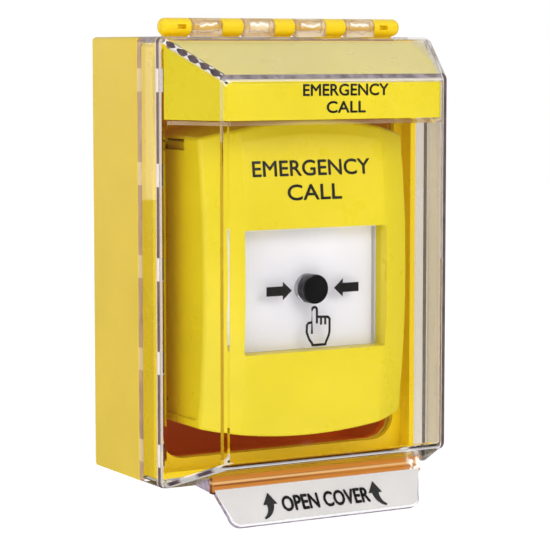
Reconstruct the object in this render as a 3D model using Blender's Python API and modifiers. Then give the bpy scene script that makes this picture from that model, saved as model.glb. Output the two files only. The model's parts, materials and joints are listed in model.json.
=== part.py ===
"""Manual call point in a surface-mounted back box, under a hinged clear protective cover.

Metres, +Z up. The origin is the middle of the back box's rear face, which lies on the wall.
+X is to the right, seen from the front, and +Y points into the wall, so the front faces -Y.
Sizes below are in millimetres, and MM turns them into metres.
"""

import math

import bmesh
import bpy
from mathutils import Matrix, Vector

MM = 0.001
GAP = 0.3  # between neighbouring pieces

# Back box
BOX_HALF_WIDTH = 65.0
BOX_HALF_HEIGHT = 91.5
BOX_FRONT = -43.0
BOX_WALL = 3.0
BOX_LEDGE = 9.0  # width of the rim that carries the gasket
BOX_LEDGE_REAR = BOX_FRONT + 3.0
BOX_PAD_REAR = -39.0  # rear of the thicker pads in the rim's corners
MOUTH_RADIUS = 10.0  # corners of the box's mouth and of the frame in front of it
WALL_SLOT_X = 40.0
WALL_SLOT_Z = 80.0
CABLE_ENTRY_Z = -30.0
CONDUIT_Y = -22.0
CONDUIT_RADIUS = 11.0

# Clear cover: a straight skirt, then a dome that tapers to the front face
COVER_REAR = -43.5
COVER_SHOULDER = -62.8
COVER_FRONT = -94.4
COVER_WALL = 2.2
FACE_HALF_WIDTH = 52.5
FACE_TOP = 75.5
FACE_BOTTOM = -79.5
RIB_PLACES = (-78, -40, -2, 36, 74)  # the middle of each rib in the left side of the skirt
RIB_HALF_HEIGHT = 4.7
RIB_REAR = -58.8

# Label hood, and the ledge of the clear cover that it stands on
HOOD_FRONT = -91.7
HOOD_REAR = -63.6
HOOD_BOTTOM = 58.4
HOOD_FRONT_TOP = 73.8
HOOD_REAR_TOP = 88.0
HOOD_FRONT_X = 50.6
HOOD_REAR_X = 61.7
HOOD_WALL = 1.6
LEDGE_BOTTOM = 56.4
LEDGE_TOP = 58.0
LEDGE_WIDTH = 4.2

# Cover frame: the yellow ring inside the skirt
FRAME_REAR = -44.9
FRAME_FRONT = -54.6
FRAME_HALF_WIDTH = 62.4
FRAME_HALF_HEIGHT = 89.0
FRAME_WALL = 2.5
FRAME_FLANGE = -47.4  # front of the flange that takes the screws
FRAME_SCREW_X = 56.3
FRAME_SCREW_Z = 82.9

# Hinge along the top edge
HINGE_Y = -48.0
HINGE_Z = 95.6
KNUCKLE_RADIUS = 3.6
KNUCKLE_ROUNDING = 2.6  # at the outer ends of the barrel
PIN_RADIUS = 1.25
PIN_BORE_RADIUS = 1.35
PIN_HALF_LENGTH = 54.6
FRAME_KNUCKLES = ((-57.3, -44.0), (-29.5, -19.9), (-4.7, 4.7), (19.9, 29.5), (44.0, 57.3))
COVER_KNUCKLES = ((-43.7, -29.8), (-19.6, -5.0), (5.0, 19.6), (29.8, 43.7))

# Lift tab under the dome
TAB_Y = -78.1
RIDGE_HALF_DEPTH = 1.5
RIDGE_TOP = -84.9
RIDGE_BOTTOM = -92.2
GUSSET_REAR = -64.5
GUSSET_THICKNESS = 1.5
TAB_ROOT_Z = -90.8
TAB_HALF_WIDTH_TOP = 50.0
TAB_HALF_WIDTH_BOTTOM = 45.6
TAB_CORNER_RADIUS = 5.0
TAB_LENGTH = 16.9
TAB_THICKNESS = 2.0
TAB_TILT = math.radians(30.6)  # away from vertical, towards the front

# Call point housing and base
POINT_HALF_WIDTH = 48.0
POINT_TOP = 57.9
POINT_TOP_DROP = 7.1  # how much lower the top edge is at its corners
POINT_BOTTOM = -73.2
POINT_BOTTOM_RISE = 5.5
POINT_FRONT = -77.5
POINT_SPLIT = -30.0  # where the housing meets the base
POINT_WALL = 2.6
PANEL_HALF_WIDTH = 33.4  # flat middle of the front
SHOULDER_DEPTH = 7.0
FRONT_BULGE = 6.0
BASE_REAR = -BOX_WALL - 0.4
BASE_SCREW_X = 34.0
BASE_SCREW_Z = (40.0, -56.0)
KEY_SLOT_BOTTOM = 45.4
KEY_SLOT_TOP = 50.0
KEY_SLOT_FRONT = -53.2
KEY_SLOT_REAR = -33.6
HOUSING_BOSS_FRONT = -71.2

# Operating element in the window recess
WINDOW_HALF_WIDTH = 33.8
WINDOW_TOP = 13.6
WINDOW_BOTTOM = -37.3
WINDOW_Z = (WINDOW_TOP + WINDOW_BOTTOM) / 2
ELEMENT_CLEARANCE = 0.8
WINDOW_FRONT = -73.3
WINDOW_THICKNESS = 1.8
SLEEVE_REAR = -65.3
PLATE_FRONT = -68.3
PLATE_REAR = -66.3
BUTTON_RADIUS = 6.1
BUTTON_FRONT = -75.7
BUTTON_REAR = -71.0
COLLAR_THICKNESS = 1.4
FLAG_FRONT = -70.4

# Mechanism
CHASSIS_FRONT = -57.0
CHASSIS_REAR = -54.5
CHASSIS_SCREWS = ((-38.0, 34.0), (38.0, 34.0), (-38.0, -52.0), (38.0, -52.0))
SWITCH_PIVOT_X = 24.0
SWITCH_PIVOT_Y = -49.9
LEVER_LENGTH = 14.0
LEVER_REST_ANGLE = math.radians(14.8)
POST_X = 12.0
TRIP_PIVOT_Y = -48.7
TRIP_PIVOT_Z = 8.0
TRIP_ARM_FRONT = -62.5
TRIP_ARM_BOTTOM = 10.2
TRIP_ARM_TOP = 10.6
BOARD_FRONT = -41.6
BOARD_REAR = -40.0
BOARD_SCREWS = ((-27.0, 24.0), (27.0, -42.0))
TERMINAL_Z = -8.0
TERMINAL_FRONT = BOARD_REAR + GAP

YELLOW = (0.86, 0.60, 0.04, 1.0)
PALE_YELLOW = (0.78, 0.56, 0.10, 1.0)
CLEAR = (0.85, 0.85, 0.86, 1.0)
WHITE = (0.85, 0.85, 0.87, 1.0)
BLACK = (0.012, 0.012, 0.013, 1.0)
GREY = (0.16, 0.16, 0.17, 1.0)
GREEN = (0.02, 0.16, 0.06, 1.0)
STEEL = (0.56, 0.57, 0.58, 1.0)


def clear_scene():
    for obj in list(bpy.data.objects):
        bpy.data.objects.remove(obj)


def new_collection(name):
    collection = bpy.data.collections.new(name)
    bpy.context.scene.collection.children.link(collection)
    return collection


clear_scene()
PARTS = new_collection("manual_call_point")
CUTTERS = new_collection("cutters")


def material(name, colour, roughness, metallic=0.0, transmission=0.0):
    made = bpy.data.materials.new(name)
    made.use_nodes = True
    shader = made.node_tree.nodes["Principled BSDF"]
    shader.inputs["Base Color"].default_value = colour
    shader.inputs["Roughness"].default_value = roughness
    shader.inputs["Metallic"].default_value = metallic
    shader.inputs["Transmission Weight"].default_value = transmission
    return made


MATERIALS = {
    "yellow_abs": material("yellow_abs", YELLOW, 0.35),
    "box_yellow": material("box_yellow", PALE_YELLOW, 0.45),
    "clear_polycarbonate": material("clear_polycarbonate", CLEAR, 0.05, transmission=1.0),
    "white_plastic": material("white_plastic", WHITE, 0.4),
    "black_plastic": material("black_plastic", BLACK, 0.25),
    "grey_plastic": material("grey_plastic", GREY, 0.5),
    "rubber": material("rubber", BLACK, 0.9),
    "board": material("board", GREEN, 0.5),
    "steel": material("steel", STEEL, 0.3, metallic=1.0),
}


def finish_object(obj, slot):
    """Gives a part its material and smooth shading with crisp corners."""
    obj.data.materials.clear()
    obj.data.materials.append(MATERIALS[slot])
    obj.data.shade_smooth()
    obj.data.set_sharp_from_angle(angle=math.radians(32))
    return obj


def object_of(bm, name, slot=None, centre=(0.0, 0.0, 0.0)):
    """A new object from a bmesh, whose coordinates are in millimetres. No slot makes it a cutter."""
    bmesh.ops.translate(bm, verts=bm.verts, vec=-Vector(centre))
    bmesh.ops.scale(bm, verts=bm.verts, vec=(MM, MM, MM))
    bmesh.ops.recalc_face_normals(bm, faces=bm.faces)
    mesh = bpy.data.meshes.new(name)
    bm.to_mesh(mesh)
    bm.free()
    obj = bpy.data.objects.new(name, mesh)
    obj.location = Vector(centre) * MM
    if slot is None:
        return hide_cutter(obj)
    PARTS.objects.link(obj)
    return finish_object(obj, slot)


def hide_cutter(obj):
    CUTTERS.objects.link(obj)
    obj.hide_render = True
    obj.display_type = "WIRE"
    return obj


def box_mesh(low, high):
    bm = bmesh.new()
    size = Vector(high) - Vector(low)
    middle = (Vector(high) + Vector(low)) / 2
    bmesh.ops.create_cube(bm, size=1.0, matrix=Matrix.Translation(middle) @ Matrix.Diagonal((*size, 1.0)))
    return bm


def box(name, low, high, slot=None, centre=None):
    middle = centre or tuple((a + b) / 2 for a, b in zip(low, high))
    return object_of(box_mesh(low, high), name, slot, middle)


AXIS_TURNS = {
    "X": Matrix.Rotation(math.pi / 2, 4, "Y"),
    "Y": Matrix.Rotation(math.pi / 2, 4, "X"),
    "Z": Matrix.Identity(4),
}


def cylinder(name, axis, centre, radius, length, slot=None, sides=20):
    """A cylinder along a row axis, centred at centre."""
    bm = bmesh.new()
    bmesh.ops.create_cone(
        bm, cap_ends=True, segments=sides, radius1=radius, radius2=radius, depth=length,
        matrix=Matrix.Translation(centre) @ AXIS_TURNS[axis],
    )
    return object_of(bm, name, slot, centre)


def turned(name, profile, slot, location, direction=(0.0, 0.0, 1.0), sides=16):
    """A turned piece. The profile runs down its outer side as (radius, height) from its top."""
    mesh = bpy.data.meshes.new(name)
    points = [(radius * MM, 0.0, height * MM) for radius, height in profile]
    mesh.from_pydata(points, [(i, i + 1) for i in range(len(points) - 1)], [])
    obj = bpy.data.objects.new(name, mesh)
    PARTS.objects.link(obj)
    obj.location = Vector(location) * MM
    obj.rotation_mode = "QUATERNION"
    obj.rotation_quaternion = Vector((0, 0, 1)).rotation_difference(Vector(direction))
    screw = obj.modifiers.new("turn", "SCREW")
    screw.steps = sides
    screw.render_steps = sides
    screw.use_merge_vertices = True
    screw.merge_threshold = 0.00005
    obj.data.materials.append(MATERIALS[slot])
    return obj


def plate(name, points, front, rear, slot=None):
    """A flat outline of (x, z) points, from y = front to y = rear, as a mesh."""
    curve = bpy.data.curves.new(name, "CURVE")
    curve.dimensions = "2D"
    curve.fill_mode = "BOTH"
    curve.extrude = abs(rear - front) / 2 * MM
    spline = curve.splines.new("POLY")
    spline.points.add(len(points) - 1)
    for point, (x, z) in zip(spline.points, points):
        point.co = (x * MM, z * MM, 0.0, 1.0)
    spline.use_cyclic_u = True
    flat = bpy.data.objects.new(name + "_outline", curve)
    bpy.context.scene.collection.objects.link(flat)
    flat.location = (0.0, (front + rear) / 2 * MM, 0.0)
    flat.rotation_euler = (math.pi / 2, 0.0, 0.0)
    bpy.context.view_layer.update()
    mesh = bpy.data.meshes.new_from_object(flat.evaluated_get(bpy.context.evaluated_depsgraph_get()))
    bm = bmesh.new()
    bm.from_mesh(mesh)
    bmesh.ops.remove_doubles(bm, verts=bm.verts, dist=0.00001)
    bmesh.ops.recalc_face_normals(bm, faces=bm.faces)
    bm.to_mesh(mesh)
    bm.free()
    solid = bpy.data.objects.new(name, mesh)
    solid.matrix_world = flat.matrix_world
    bpy.data.objects.remove(flat)
    if slot is None:
        return hide_cutter(solid)
    PARTS.objects.link(solid)
    return finish_object(solid, slot)


def rounded_rectangle(left, bottom, right, top, radius, steps=3):
    points = []
    corners = ((right, top, 0), (left, top, 1), (left, bottom, 2), (right, bottom, 3))
    for x, z, quarter in corners:
        inward_x = x - math.copysign(radius, x - (left + right) / 2)
        inward_z = z - math.copysign(radius, z - (bottom + top) / 2)
        for step in range(steps + 1):
            angle = (quarter + step / steps) * math.pi / 2
            points.append((inward_x + radius * math.cos(angle), inward_z + radius * math.sin(angle)))
    return points


def boolean(target, other, operation="DIFFERENCE"):
    modifier = target.modifiers.new(operation.lower() + "_" + other.name, "BOOLEAN")
    modifier.operation = operation
    modifier.solver = "EXACT"
    modifier.object = other
    return target


def bevel(obj, width, segments=2, angle=40.0):
    modifier = obj.modifiers.new("round_edges", "BEVEL")
    modifier.width = width * MM
    modifier.segments = segments
    modifier.limit_method = "ANGLE"
    modifier.angle_limit = math.radians(angle)
    return obj


def solidify(obj, thickness):
    modifier = obj.modifiers.new("wall", "SOLIDIFY")
    modifier.thickness = thickness * MM
    modifier.offset = -1.0
    modifier.use_even_offset = True
    return obj


def corners(x, z):
    """The four places (±x, ±z), in a fixed order."""
    return [(sx * x, sz * z) for sz in (1, -1) for sx in (-1, 1)]


# ---------------------------------------------------------------- enclosure


def make_back_box():
    half_x = BOX_HALF_WIDTH
    half_z = BOX_HALF_HEIGHT
    inner_x = half_x - BOX_WALL
    inner_z = half_z - BOX_WALL
    mouth_x = half_x - BOX_LEDGE
    mouth_z = half_z - BOX_LEDGE
    body = box("back_box", (-half_x, BOX_FRONT, -half_z), (half_x, 0, half_z), "box_yellow", (0, 0, 0))
    bevel(body, 1.6)
    boolean(body, box("box_cavity", (-inner_x, BOX_LEDGE_REAR, -inner_z), (inner_x, -BOX_WALL, inner_z)))
    for number, (x, z) in enumerate(corners(FRAME_SCREW_X, FRAME_SCREW_Z), 1):
        outer_x = math.copysign(inner_x + 1, x)
        outer_z = math.copysign(inner_z + 1, z)
        near_x, far_x = sorted((x - math.copysign(4, x), outer_x))
        near_z, far_z = sorted((z - math.copysign(4, z), outer_z))
        pad = box(f"rim_pad_{number}", (near_x, BOX_FRONT, near_z), (far_x, BOX_PAD_REAR, far_z))
        boolean(body, pad, "UNION")
        boolean(body, cylinder(f"pad_hole_{number}", "Y", (x, BOX_LEDGE_REAR, z), 1.8, 8, sides=12))
    mouth = rounded_rectangle(-mouth_x, -mouth_z, mouth_x, mouth_z, MOUTH_RADIUS)
    boolean(body, plate("box_mouth", mouth, BOX_FRONT - 1, BOX_PAD_REAR + 1))
    for number, (x, z) in enumerate(corners(WALL_SLOT_X, WALL_SLOT_Z), 1):
        slot = plate(f"wall_slot_{number}", rounded_rectangle(x - 3, z - 5.5, x + 3, z + 5.5, 2.9), -6, 2)
        boolean(body, slot)
    cable = rounded_rectangle(-13, CABLE_ENTRY_Z - 9, 13, CABLE_ENTRY_Z + 9, 3)
    boolean(body, plate("box_cable_entry", cable, -6, 2))
    for number, (x, z) in enumerate(base_screw_places(), 1):
        boolean(body, cylinder(f"floor_hole_{number}", "Y", (x, -3.0, z), 1.8, 4.2, sides=12))
    conduit = cylinder("conduit_hole", "Z", (0, CONDUIT_Y, -half_z), CONDUIT_RADIUS, 10, sides=24)
    boolean(body, conduit)


def base_screw_places():
    return [(side * BASE_SCREW_X, z) for z in BASE_SCREW_Z for side in (-1, 1)]


def make_conduit_plug():
    outside = -BOX_HALF_HEIGHT + 0.2
    inside = -BOX_HALF_HEIGHT + BOX_WALL + GAP
    profile = [
        (0, inside + 2.0), (12.6, inside + 2.0), (13.2, inside + 1.4), (13.2, inside),
        (CONDUIT_RADIUS - 0.4, inside), (CONDUIT_RADIUS - 0.4, outside + 0.5),
        (CONDUIT_RADIUS - 0.9, outside), (0, outside),
    ]
    plug = turned("conduit_plug", profile, "box_yellow", (0, CONDUIT_Y, 0), sides=24)
    boolean(plug, cylinder("plug_hex", "Z", (0, CONDUIT_Y, outside), 5.0, 5, sides=6))


def make_gasket():
    half_x = BOX_HALF_WIDTH - 2.8
    half_z = BOX_HALF_HEIGHT - 2.8
    front = BOX_FRONT - GAP - 1.3
    rear = BOX_FRONT - GAP
    ring = plate("box_gasket", rounded_rectangle(-half_x, -half_z, half_x, half_z, 2), front, rear, "rubber")
    half_x -= 2.6
    half_z -= 2.6
    hole = rounded_rectangle(-half_x, -half_z, half_x, half_z, 1)
    boolean(ring, plate("gasket_hole", hole, front - 1, rear + 1))


def knuckle(name, start, end, rounded_end=None):
    """A hinge knuckle along X. Its rim is rounded at x = rounded_end, if that is given."""
    middle = ((start + end) / 2, HINGE_Y, HINGE_Z)
    bm = bmesh.new()
    bmesh.ops.create_cone(
        bm, cap_ends=True, segments=20, radius1=KNUCKLE_RADIUS, radius2=KNUCKLE_RADIUS, depth=end - start,
        matrix=Matrix.Translation(middle) @ AXIS_TURNS["X"],
    )
    if rounded_end is not None:
        rim = [edge for edge in bm.edges if all(abs(vert.co.x - rounded_end) < 0.01 for vert in edge.verts)]
        bmesh.ops.bevel(bm, geom=rim, offset=KNUCKLE_ROUNDING, segments=3, profile=0.5, affect="EDGES")
    return object_of(bm, name, None, middle)


def pin_bore(name):
    length = 2 * (PIN_HALF_LENGTH + GAP)
    return cylinder(name, "X", (0, HINGE_Y, HINGE_Z), PIN_BORE_RADIUS, length, sides=20)


def make_cover_frame():
    half_x = FRAME_HALF_WIDTH
    half_z = FRAME_HALF_HEIGHT
    outer = rounded_rectangle(-half_x, -half_z, half_x, half_z, 2)
    frame = plate("cover_frame", outer, FRAME_FRONT, FRAME_REAR, "yellow_abs")
    inner_x = half_x - FRAME_WALL
    inner_z = half_z - FRAME_WALL
    inner = rounded_rectangle(-inner_x, -inner_z, inner_x, inner_z, 1)
    boolean(frame, plate("frame_inside", inner, FRAME_FRONT - 1, FRAME_FLANGE))
    mouth_x = BOX_HALF_WIDTH - BOX_LEDGE
    mouth_z = BOX_HALF_HEIGHT - BOX_LEDGE
    mouth = rounded_rectangle(-mouth_x, -mouth_z, mouth_x, mouth_z, MOUTH_RADIUS)
    boolean(frame, plate("frame_mouth", mouth, -56, -44))
    for number, (x, z) in enumerate(corners(FRAME_SCREW_X, FRAME_SCREW_Z), 1):
        boolean(frame, cylinder(f"frame_hole_{number}", "Y", (x, FRAME_REAR, z), 1.75, 3.8, sides=12))
    outer_ends = (FRAME_KNUCKLES[0][0], FRAME_KNUCKLES[-1][1])
    for number, (start, end) in enumerate(FRAME_KNUCKLES, 1):
        rounded_end = next((x for x in (start, end) if x in outer_ends), None)
        leaf_start = start + (KNUCKLE_ROUNDING if start in outer_ends else 0.01)
        leaf_end = end - (KNUCKLE_ROUNDING if end in outer_ends else 0.01)
        leaf_low = (leaf_start, HINGE_Y + 0.1, half_z - 1.6)
        boolean(frame, box(f"frame_leaf_{number}", leaf_low, (leaf_end, FRAME_REAR, HINGE_Z)), "UNION")
        boolean(frame, knuckle(f"frame_knuckle_{number}", start, end, rounded_end), "UNION")
    boolean(frame, pin_bore("frame_pin_bore"))
    for side in (-1, 1):
        low, high = sorted((side * 46.5, side * 50.5))
        slot_low = (low, HINGE_Y - 5, HINGE_Z - 0.9)
        boolean(frame, box(f"pin_slot_{side}", slot_low, (high, HINGE_Y, HINGE_Z + 0.9)))


def make_hinge_pin():
    cylinder("hinge_pin", "X", (0, HINGE_Y, HINGE_Z), PIN_RADIUS, 2 * PIN_HALF_LENGTH, "steel", sides=20)


def screw_profile(head, head_height, shank, length):
    """A pan-head screw that points down, with its head's underside at height 0."""
    return [
        (0, head_height), (head * 0.7, head_height), (head, head_height * 0.45), (head, 0),
        (shank, 0), (shank, -length + 0.8), (shank * 0.5, -length), (0, -length),
    ]


def make_screw(name, place, direction, head=2.7, head_height=1.6, shank=1.45, length=9.0):
    """A screw at place whose head points along direction, with a driver slot across its head."""
    profile = screw_profile(head, head_height, shank, length)
    screw = turned(name, profile, "steel", place, direction, sides=12)
    middle = Vector(place) + Vector(direction) * head_height
    reach = Vector((head * 1.6, head_height * 0.9, 0.35 * head))
    slot = box(name + "_slot", tuple(middle - reach / 2), tuple(middle + reach / 2))
    return boolean(screw, slot)


def make_enclosure_screws():
    """The frame's screws are driven from inside the box, so nothing of them shows in front."""
    for number, (x, z) in enumerate(corners(FRAME_SCREW_X, FRAME_SCREW_Z), 1):
        make_screw(f"frame_screw_{number}", (x, BOX_PAD_REAR + GAP, z), (0, 1, 0), length=7.7)
    for number, (x, z) in enumerate(base_screw_places(), 1):
        make_screw(f"base_screw_{number}", (x, BASE_REAR - POINT_WALL - GAP, z), (0, -1, 0), length=4.9)


# -------------------------------------------------------------------- cover


def loft(rings):
    """An open shell through rings of points, closed by a face on the first ring."""
    bm = bmesh.new()
    made = [[bm.verts.new(point) for point in ring] for ring in rings]
    bm.faces.new(made[0])
    count = len(rings[0])
    for near, far in zip(made, made[1:]):
        for i in range(count):
            bm.faces.new((near[i], near[(i + 1) % count], far[(i + 1) % count], far[i]))
    return bm


def rectangle_ring(half_width, bottom, top, y):
    return [(-half_width, y, bottom), (half_width, y, bottom), (half_width, y, top), (-half_width, y, top)]


def make_clear_cover():
    rings = [
        rectangle_ring(FACE_HALF_WIDTH, FACE_BOTTOM, FACE_TOP, COVER_FRONT),
        rectangle_ring(BOX_HALF_WIDTH, -BOX_HALF_HEIGHT, BOX_HALF_HEIGHT, COVER_SHOULDER),
        rectangle_ring(BOX_HALF_WIDTH, -BOX_HALF_HEIGHT, BOX_HALF_HEIGHT, COVER_REAR),
    ]
    cover = object_of(loft(rings), "clear_cover", "clear_polycarbonate", (0, HINGE_Y, HINGE_Z))
    bevel(cover, 2.2, segments=2)
    solidify(cover, COVER_WALL)
    cut_top_behind_hinge(cover)
    add_cover_knuckles(cover)
    add_cover_ribs(cover)
    add_hood_ledge(cover)
    add_lift_tab(cover)


def cut_top_behind_hinge(cover):
    """The top wall stops in front of the hinge axis, so the frame's leaves pass behind it."""
    reach_x = BOX_HALF_WIDTH - COVER_WALL - 0.2
    low = (-reach_x, HINGE_Y - 0.8, FRAME_HALF_HEIGHT - 0.5)
    boolean(cover, box("cover_top_cut", low, (reach_x, COVER_REAR + 2, BOX_HALF_HEIGHT + 1)))


def add_cover_knuckles(cover):
    for number, (start, end) in enumerate(COVER_KNUCKLES, 1):
        web = box(
            f"cover_web_{number}",
            (start + 0.01, HINGE_Y - 3.4, BOX_HALF_HEIGHT - 1.1), (end - 0.01, HINGE_Y - 1.0, HINGE_Z),
        )
        boolean(cover, web, "UNION")
        boolean(cover, knuckle(f"cover_knuckle_{number}", start, end), "UNION")
    boolean(cover, pin_bore("cover_pin_bore"))


def add_cover_ribs(cover):
    """Five ribs inside the left side of the skirt, right behind its corner."""
    inside = BOX_HALF_WIDTH - COVER_WALL
    for number, z in enumerate(RIB_PLACES, 1):
        low = (-inside - 0.8, COVER_SHOULDER + 0.5, z - RIB_HALF_HEIGHT)
        rib = box(f"cover_rib_{number}", low, (-inside + 0.9, RIB_REAR, z + RIB_HALF_HEIGHT))
        boolean(cover, rib, "UNION")


def dome_half_width(y):
    share = (COVER_SHOULDER - y) / (COVER_SHOULDER - COVER_FRONT)
    return BOX_HALF_WIDTH + (FACE_HALF_WIDTH - BOX_HALF_WIDTH) * share


def dome_bottom(y):
    share = (COVER_SHOULDER - y) / (COVER_SHOULDER - COVER_FRONT)
    return -BOX_HALF_HEIGHT + (FACE_BOTTOM + BOX_HALF_HEIGHT) * share


def prism(name, points, along, low, high):
    """A flat outline of points in the two axes other than along, from low to high on that axis."""
    bm = bmesh.new()
    near, far = [], []
    for first, second in points:
        near.append(bm.verts.new((first, second, low) if along == "Z" else (low, first, second)))
        far.append(bm.verts.new((first, second, high) if along == "Z" else (high, first, second)))
    bm.faces.new(near)
    bm.faces.new(list(reversed(far)))
    for i in range(len(points)):
        following = (i + 1) % len(points)
        bm.faces.new((near[i], far[i], far[following], near[following]))
    return object_of(bm, name)


def add_hood_ledge(cover):
    """A ledge under the label hood, round the front and both sides of the dome."""
    front = COVER_FRONT + 1.2
    rear = HOOD_REAR - 2.4
    half = dome_half_width(front) - 2.2
    ledge = box("front_ledge", (-half, front, LEDGE_BOTTOM), (half, front + LEDGE_WIDTH, LEDGE_TOP))
    boolean(cover, ledge, "UNION")
    for side in (-1, 1):
        outline = [(side * (dome_half_width(y) - 1.2), y) for y in (front + 1.0, rear)]
        outline += [(side * (dome_half_width(y) - 1.2 - LEDGE_WIDTH), y) for y in (rear, front + 1.0)]
        boolean(cover, prism(f"side_ledge_{side}", outline, "Z", LEDGE_BOTTOM, LEDGE_TOP), "UNION")


def tab_outline(half_top, half_bottom, top, bottom, radius):
    """The tab's outline in its own plane, wider at its root, with rounded lower corners."""
    points = [(half_top, top), (-half_top, top)]
    for side in (-1, 1):
        for step in range(5):
            turn = step / 4 * math.pi / 2
            across, down = (math.sin(turn), math.cos(turn)) if side > 0 else (math.cos(turn), math.sin(turn))
            points.append((side * (half_bottom - radius + radius * across), bottom + radius - radius * down))
    return points


def tilt_tab(obj):
    """Moves a plate made at y = 0 into the tab's plane, whose root is under the dome."""
    root = Matrix.Translation(Vector((0, TAB_Y, TAB_ROOT_Z)) * MM)
    obj.matrix_world = root @ Matrix.Rotation(-TAB_TILT, 4, "X") @ obj.matrix_world
    return obj


def add_lift_tab(cover):
    front = TAB_Y - RIDGE_HALF_DEPTH
    ridge_low = (-TAB_HALF_WIDTH_TOP, front, RIDGE_BOTTOM)
    ridge_high = (TAB_HALF_WIDTH_TOP, TAB_Y + RIDGE_HALF_DEPTH, RIDGE_TOP)
    boolean(cover, box("tab_ridge", ridge_low, ridge_high), "UNION")
    gusset = [
        (front + 0.2, RIDGE_BOTTOM + 0.1), (front + 0.2, dome_bottom(front) + 1.0),
        (GUSSET_REAR, dome_bottom(GUSSET_REAR) + 1.0), (GUSSET_REAR, dome_bottom(GUSSET_REAR) - 0.2),
    ]
    for side in (-1, 1):
        outside = TAB_HALF_WIDTH_TOP - 0.1
        low, high = sorted((side * outside, side * (outside - GUSSET_THICKNESS)))
        boolean(cover, prism(f"tab_gusset_{side}", gusset, "X", low, high), "UNION")
    half = TAB_THICKNESS / 2
    outline = tab_outline(
        TAB_HALF_WIDTH_TOP - 0.4, TAB_HALF_WIDTH_BOTTOM, 0.6, -TAB_LENGTH, TAB_CORNER_RADIUS
    )
    boolean(cover, tilt_tab(plate("tab_plate", outline, -half, half)), "UNION")


def make_tab_label():
    front = -TAB_THICKNESS / 2 - GAP
    half_top = TAB_HALF_WIDTH_TOP - 2.6
    outline = tab_outline(half_top, TAB_HALF_WIDTH_BOTTOM - 1.2, -3.2, -TAB_LENGTH + 1.2, 3.8)
    tilt_tab(plate("tab_label", outline, front - 0.3, front, "white_plastic"))


def make_label_hood():
    """Yellow insert behind the top of the clear front. It is open underneath and behind."""
    bm = bmesh.new()
    left_front = [bm.verts.new((-HOOD_FRONT_X, HOOD_FRONT, z)) for z in (HOOD_BOTTOM, HOOD_FRONT_TOP)]
    left_rear = [bm.verts.new((-HOOD_REAR_X, HOOD_REAR, z)) for z in (HOOD_BOTTOM, HOOD_REAR_TOP)]
    right_front = [bm.verts.new((HOOD_FRONT_X, HOOD_FRONT, z)) for z in (HOOD_BOTTOM, HOOD_FRONT_TOP)]
    right_rear = [bm.verts.new((HOOD_REAR_X, HOOD_REAR, z)) for z in (HOOD_BOTTOM, HOOD_REAR_TOP)]
    bm.faces.new((left_front[0], right_front[0], right_front[1], left_front[1]))
    bm.faces.new((left_front[1], right_front[1], right_rear[1], left_rear[1]))
    bm.faces.new((left_rear[0], left_front[0], left_front[1], left_rear[1]))
    bm.faces.new((right_front[0], right_rear[0], right_rear[1], right_front[1]))
    hood = object_of(bm, "label_hood", "yellow_abs", (0, HINGE_Y, HINGE_Z))
    bevel(hood, 0.8)
    solidify(hood, HOOD_WALL)


# --------------------------------------------------------------- call point


def point_top(x, inset=0.0):
    return POINT_TOP - inset - POINT_TOP_DROP * (x / POINT_HALF_WIDTH) ** 2


def point_bottom(x, inset=0.0):
    return POINT_BOTTOM + inset + POINT_BOTTOM_RISE * (x / POINT_HALF_WIDTH) ** 2


def point_front(x, z):
    """The front's y: flat across the middle panel, falling back at the sides, crowned in height."""
    shoulder = max(0.0, abs(x) - PANEL_HALF_WIDTH) / (POINT_HALF_WIDTH - PANEL_HALF_WIDTH)
    height = (z - (POINT_TOP + POINT_BOTTOM) / 2) / ((POINT_TOP - POINT_BOTTOM) / 2)
    return POINT_FRONT + SHOULDER_DEPTH * shoulder ** 1.2 + FRONT_BULGE * height ** 2


def make_housing_shell():
    shoulder_columns = [PANEL_HALF_WIDTH + i * (POINT_HALF_WIDTH - PANEL_HALF_WIDTH) / 4 for i in range(5)]
    panel_columns = [PANEL_HALF_WIDTH * i / 4 for i in range(4)]
    right = panel_columns + shoulder_columns
    columns = [-x for x in reversed(right[1:])] + right
    rows = 10
    bm = bmesh.new()
    bmesh.ops.create_grid(bm, x_segments=len(columns) - 1, y_segments=rows, size=1.0)
    for vert in bm.verts:
        x = columns[round((vert.co.x + 1) / 2 * (len(columns) - 1))]
        share = (vert.co.y + 1) / 2
        z = point_bottom(x) + share * (point_top(x) - point_bottom(x))
        vert.co = (x, point_front(x, z), z)
    rim = [edge for edge in bm.edges if edge.is_boundary]
    pulled = bmesh.ops.extrude_edge_only(bm, edges=rim)
    for item in pulled["geom"]:
        if isinstance(item, bmesh.types.BMVert):
            item.co.y = POINT_SPLIT
    shell = object_of(bm, "call_point_housing", "yellow_abs", (0, 0, 0))
    bevel(shell, 2.2, segments=2, angle=48.0)
    return solidify(shell, POINT_WALL)


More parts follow.
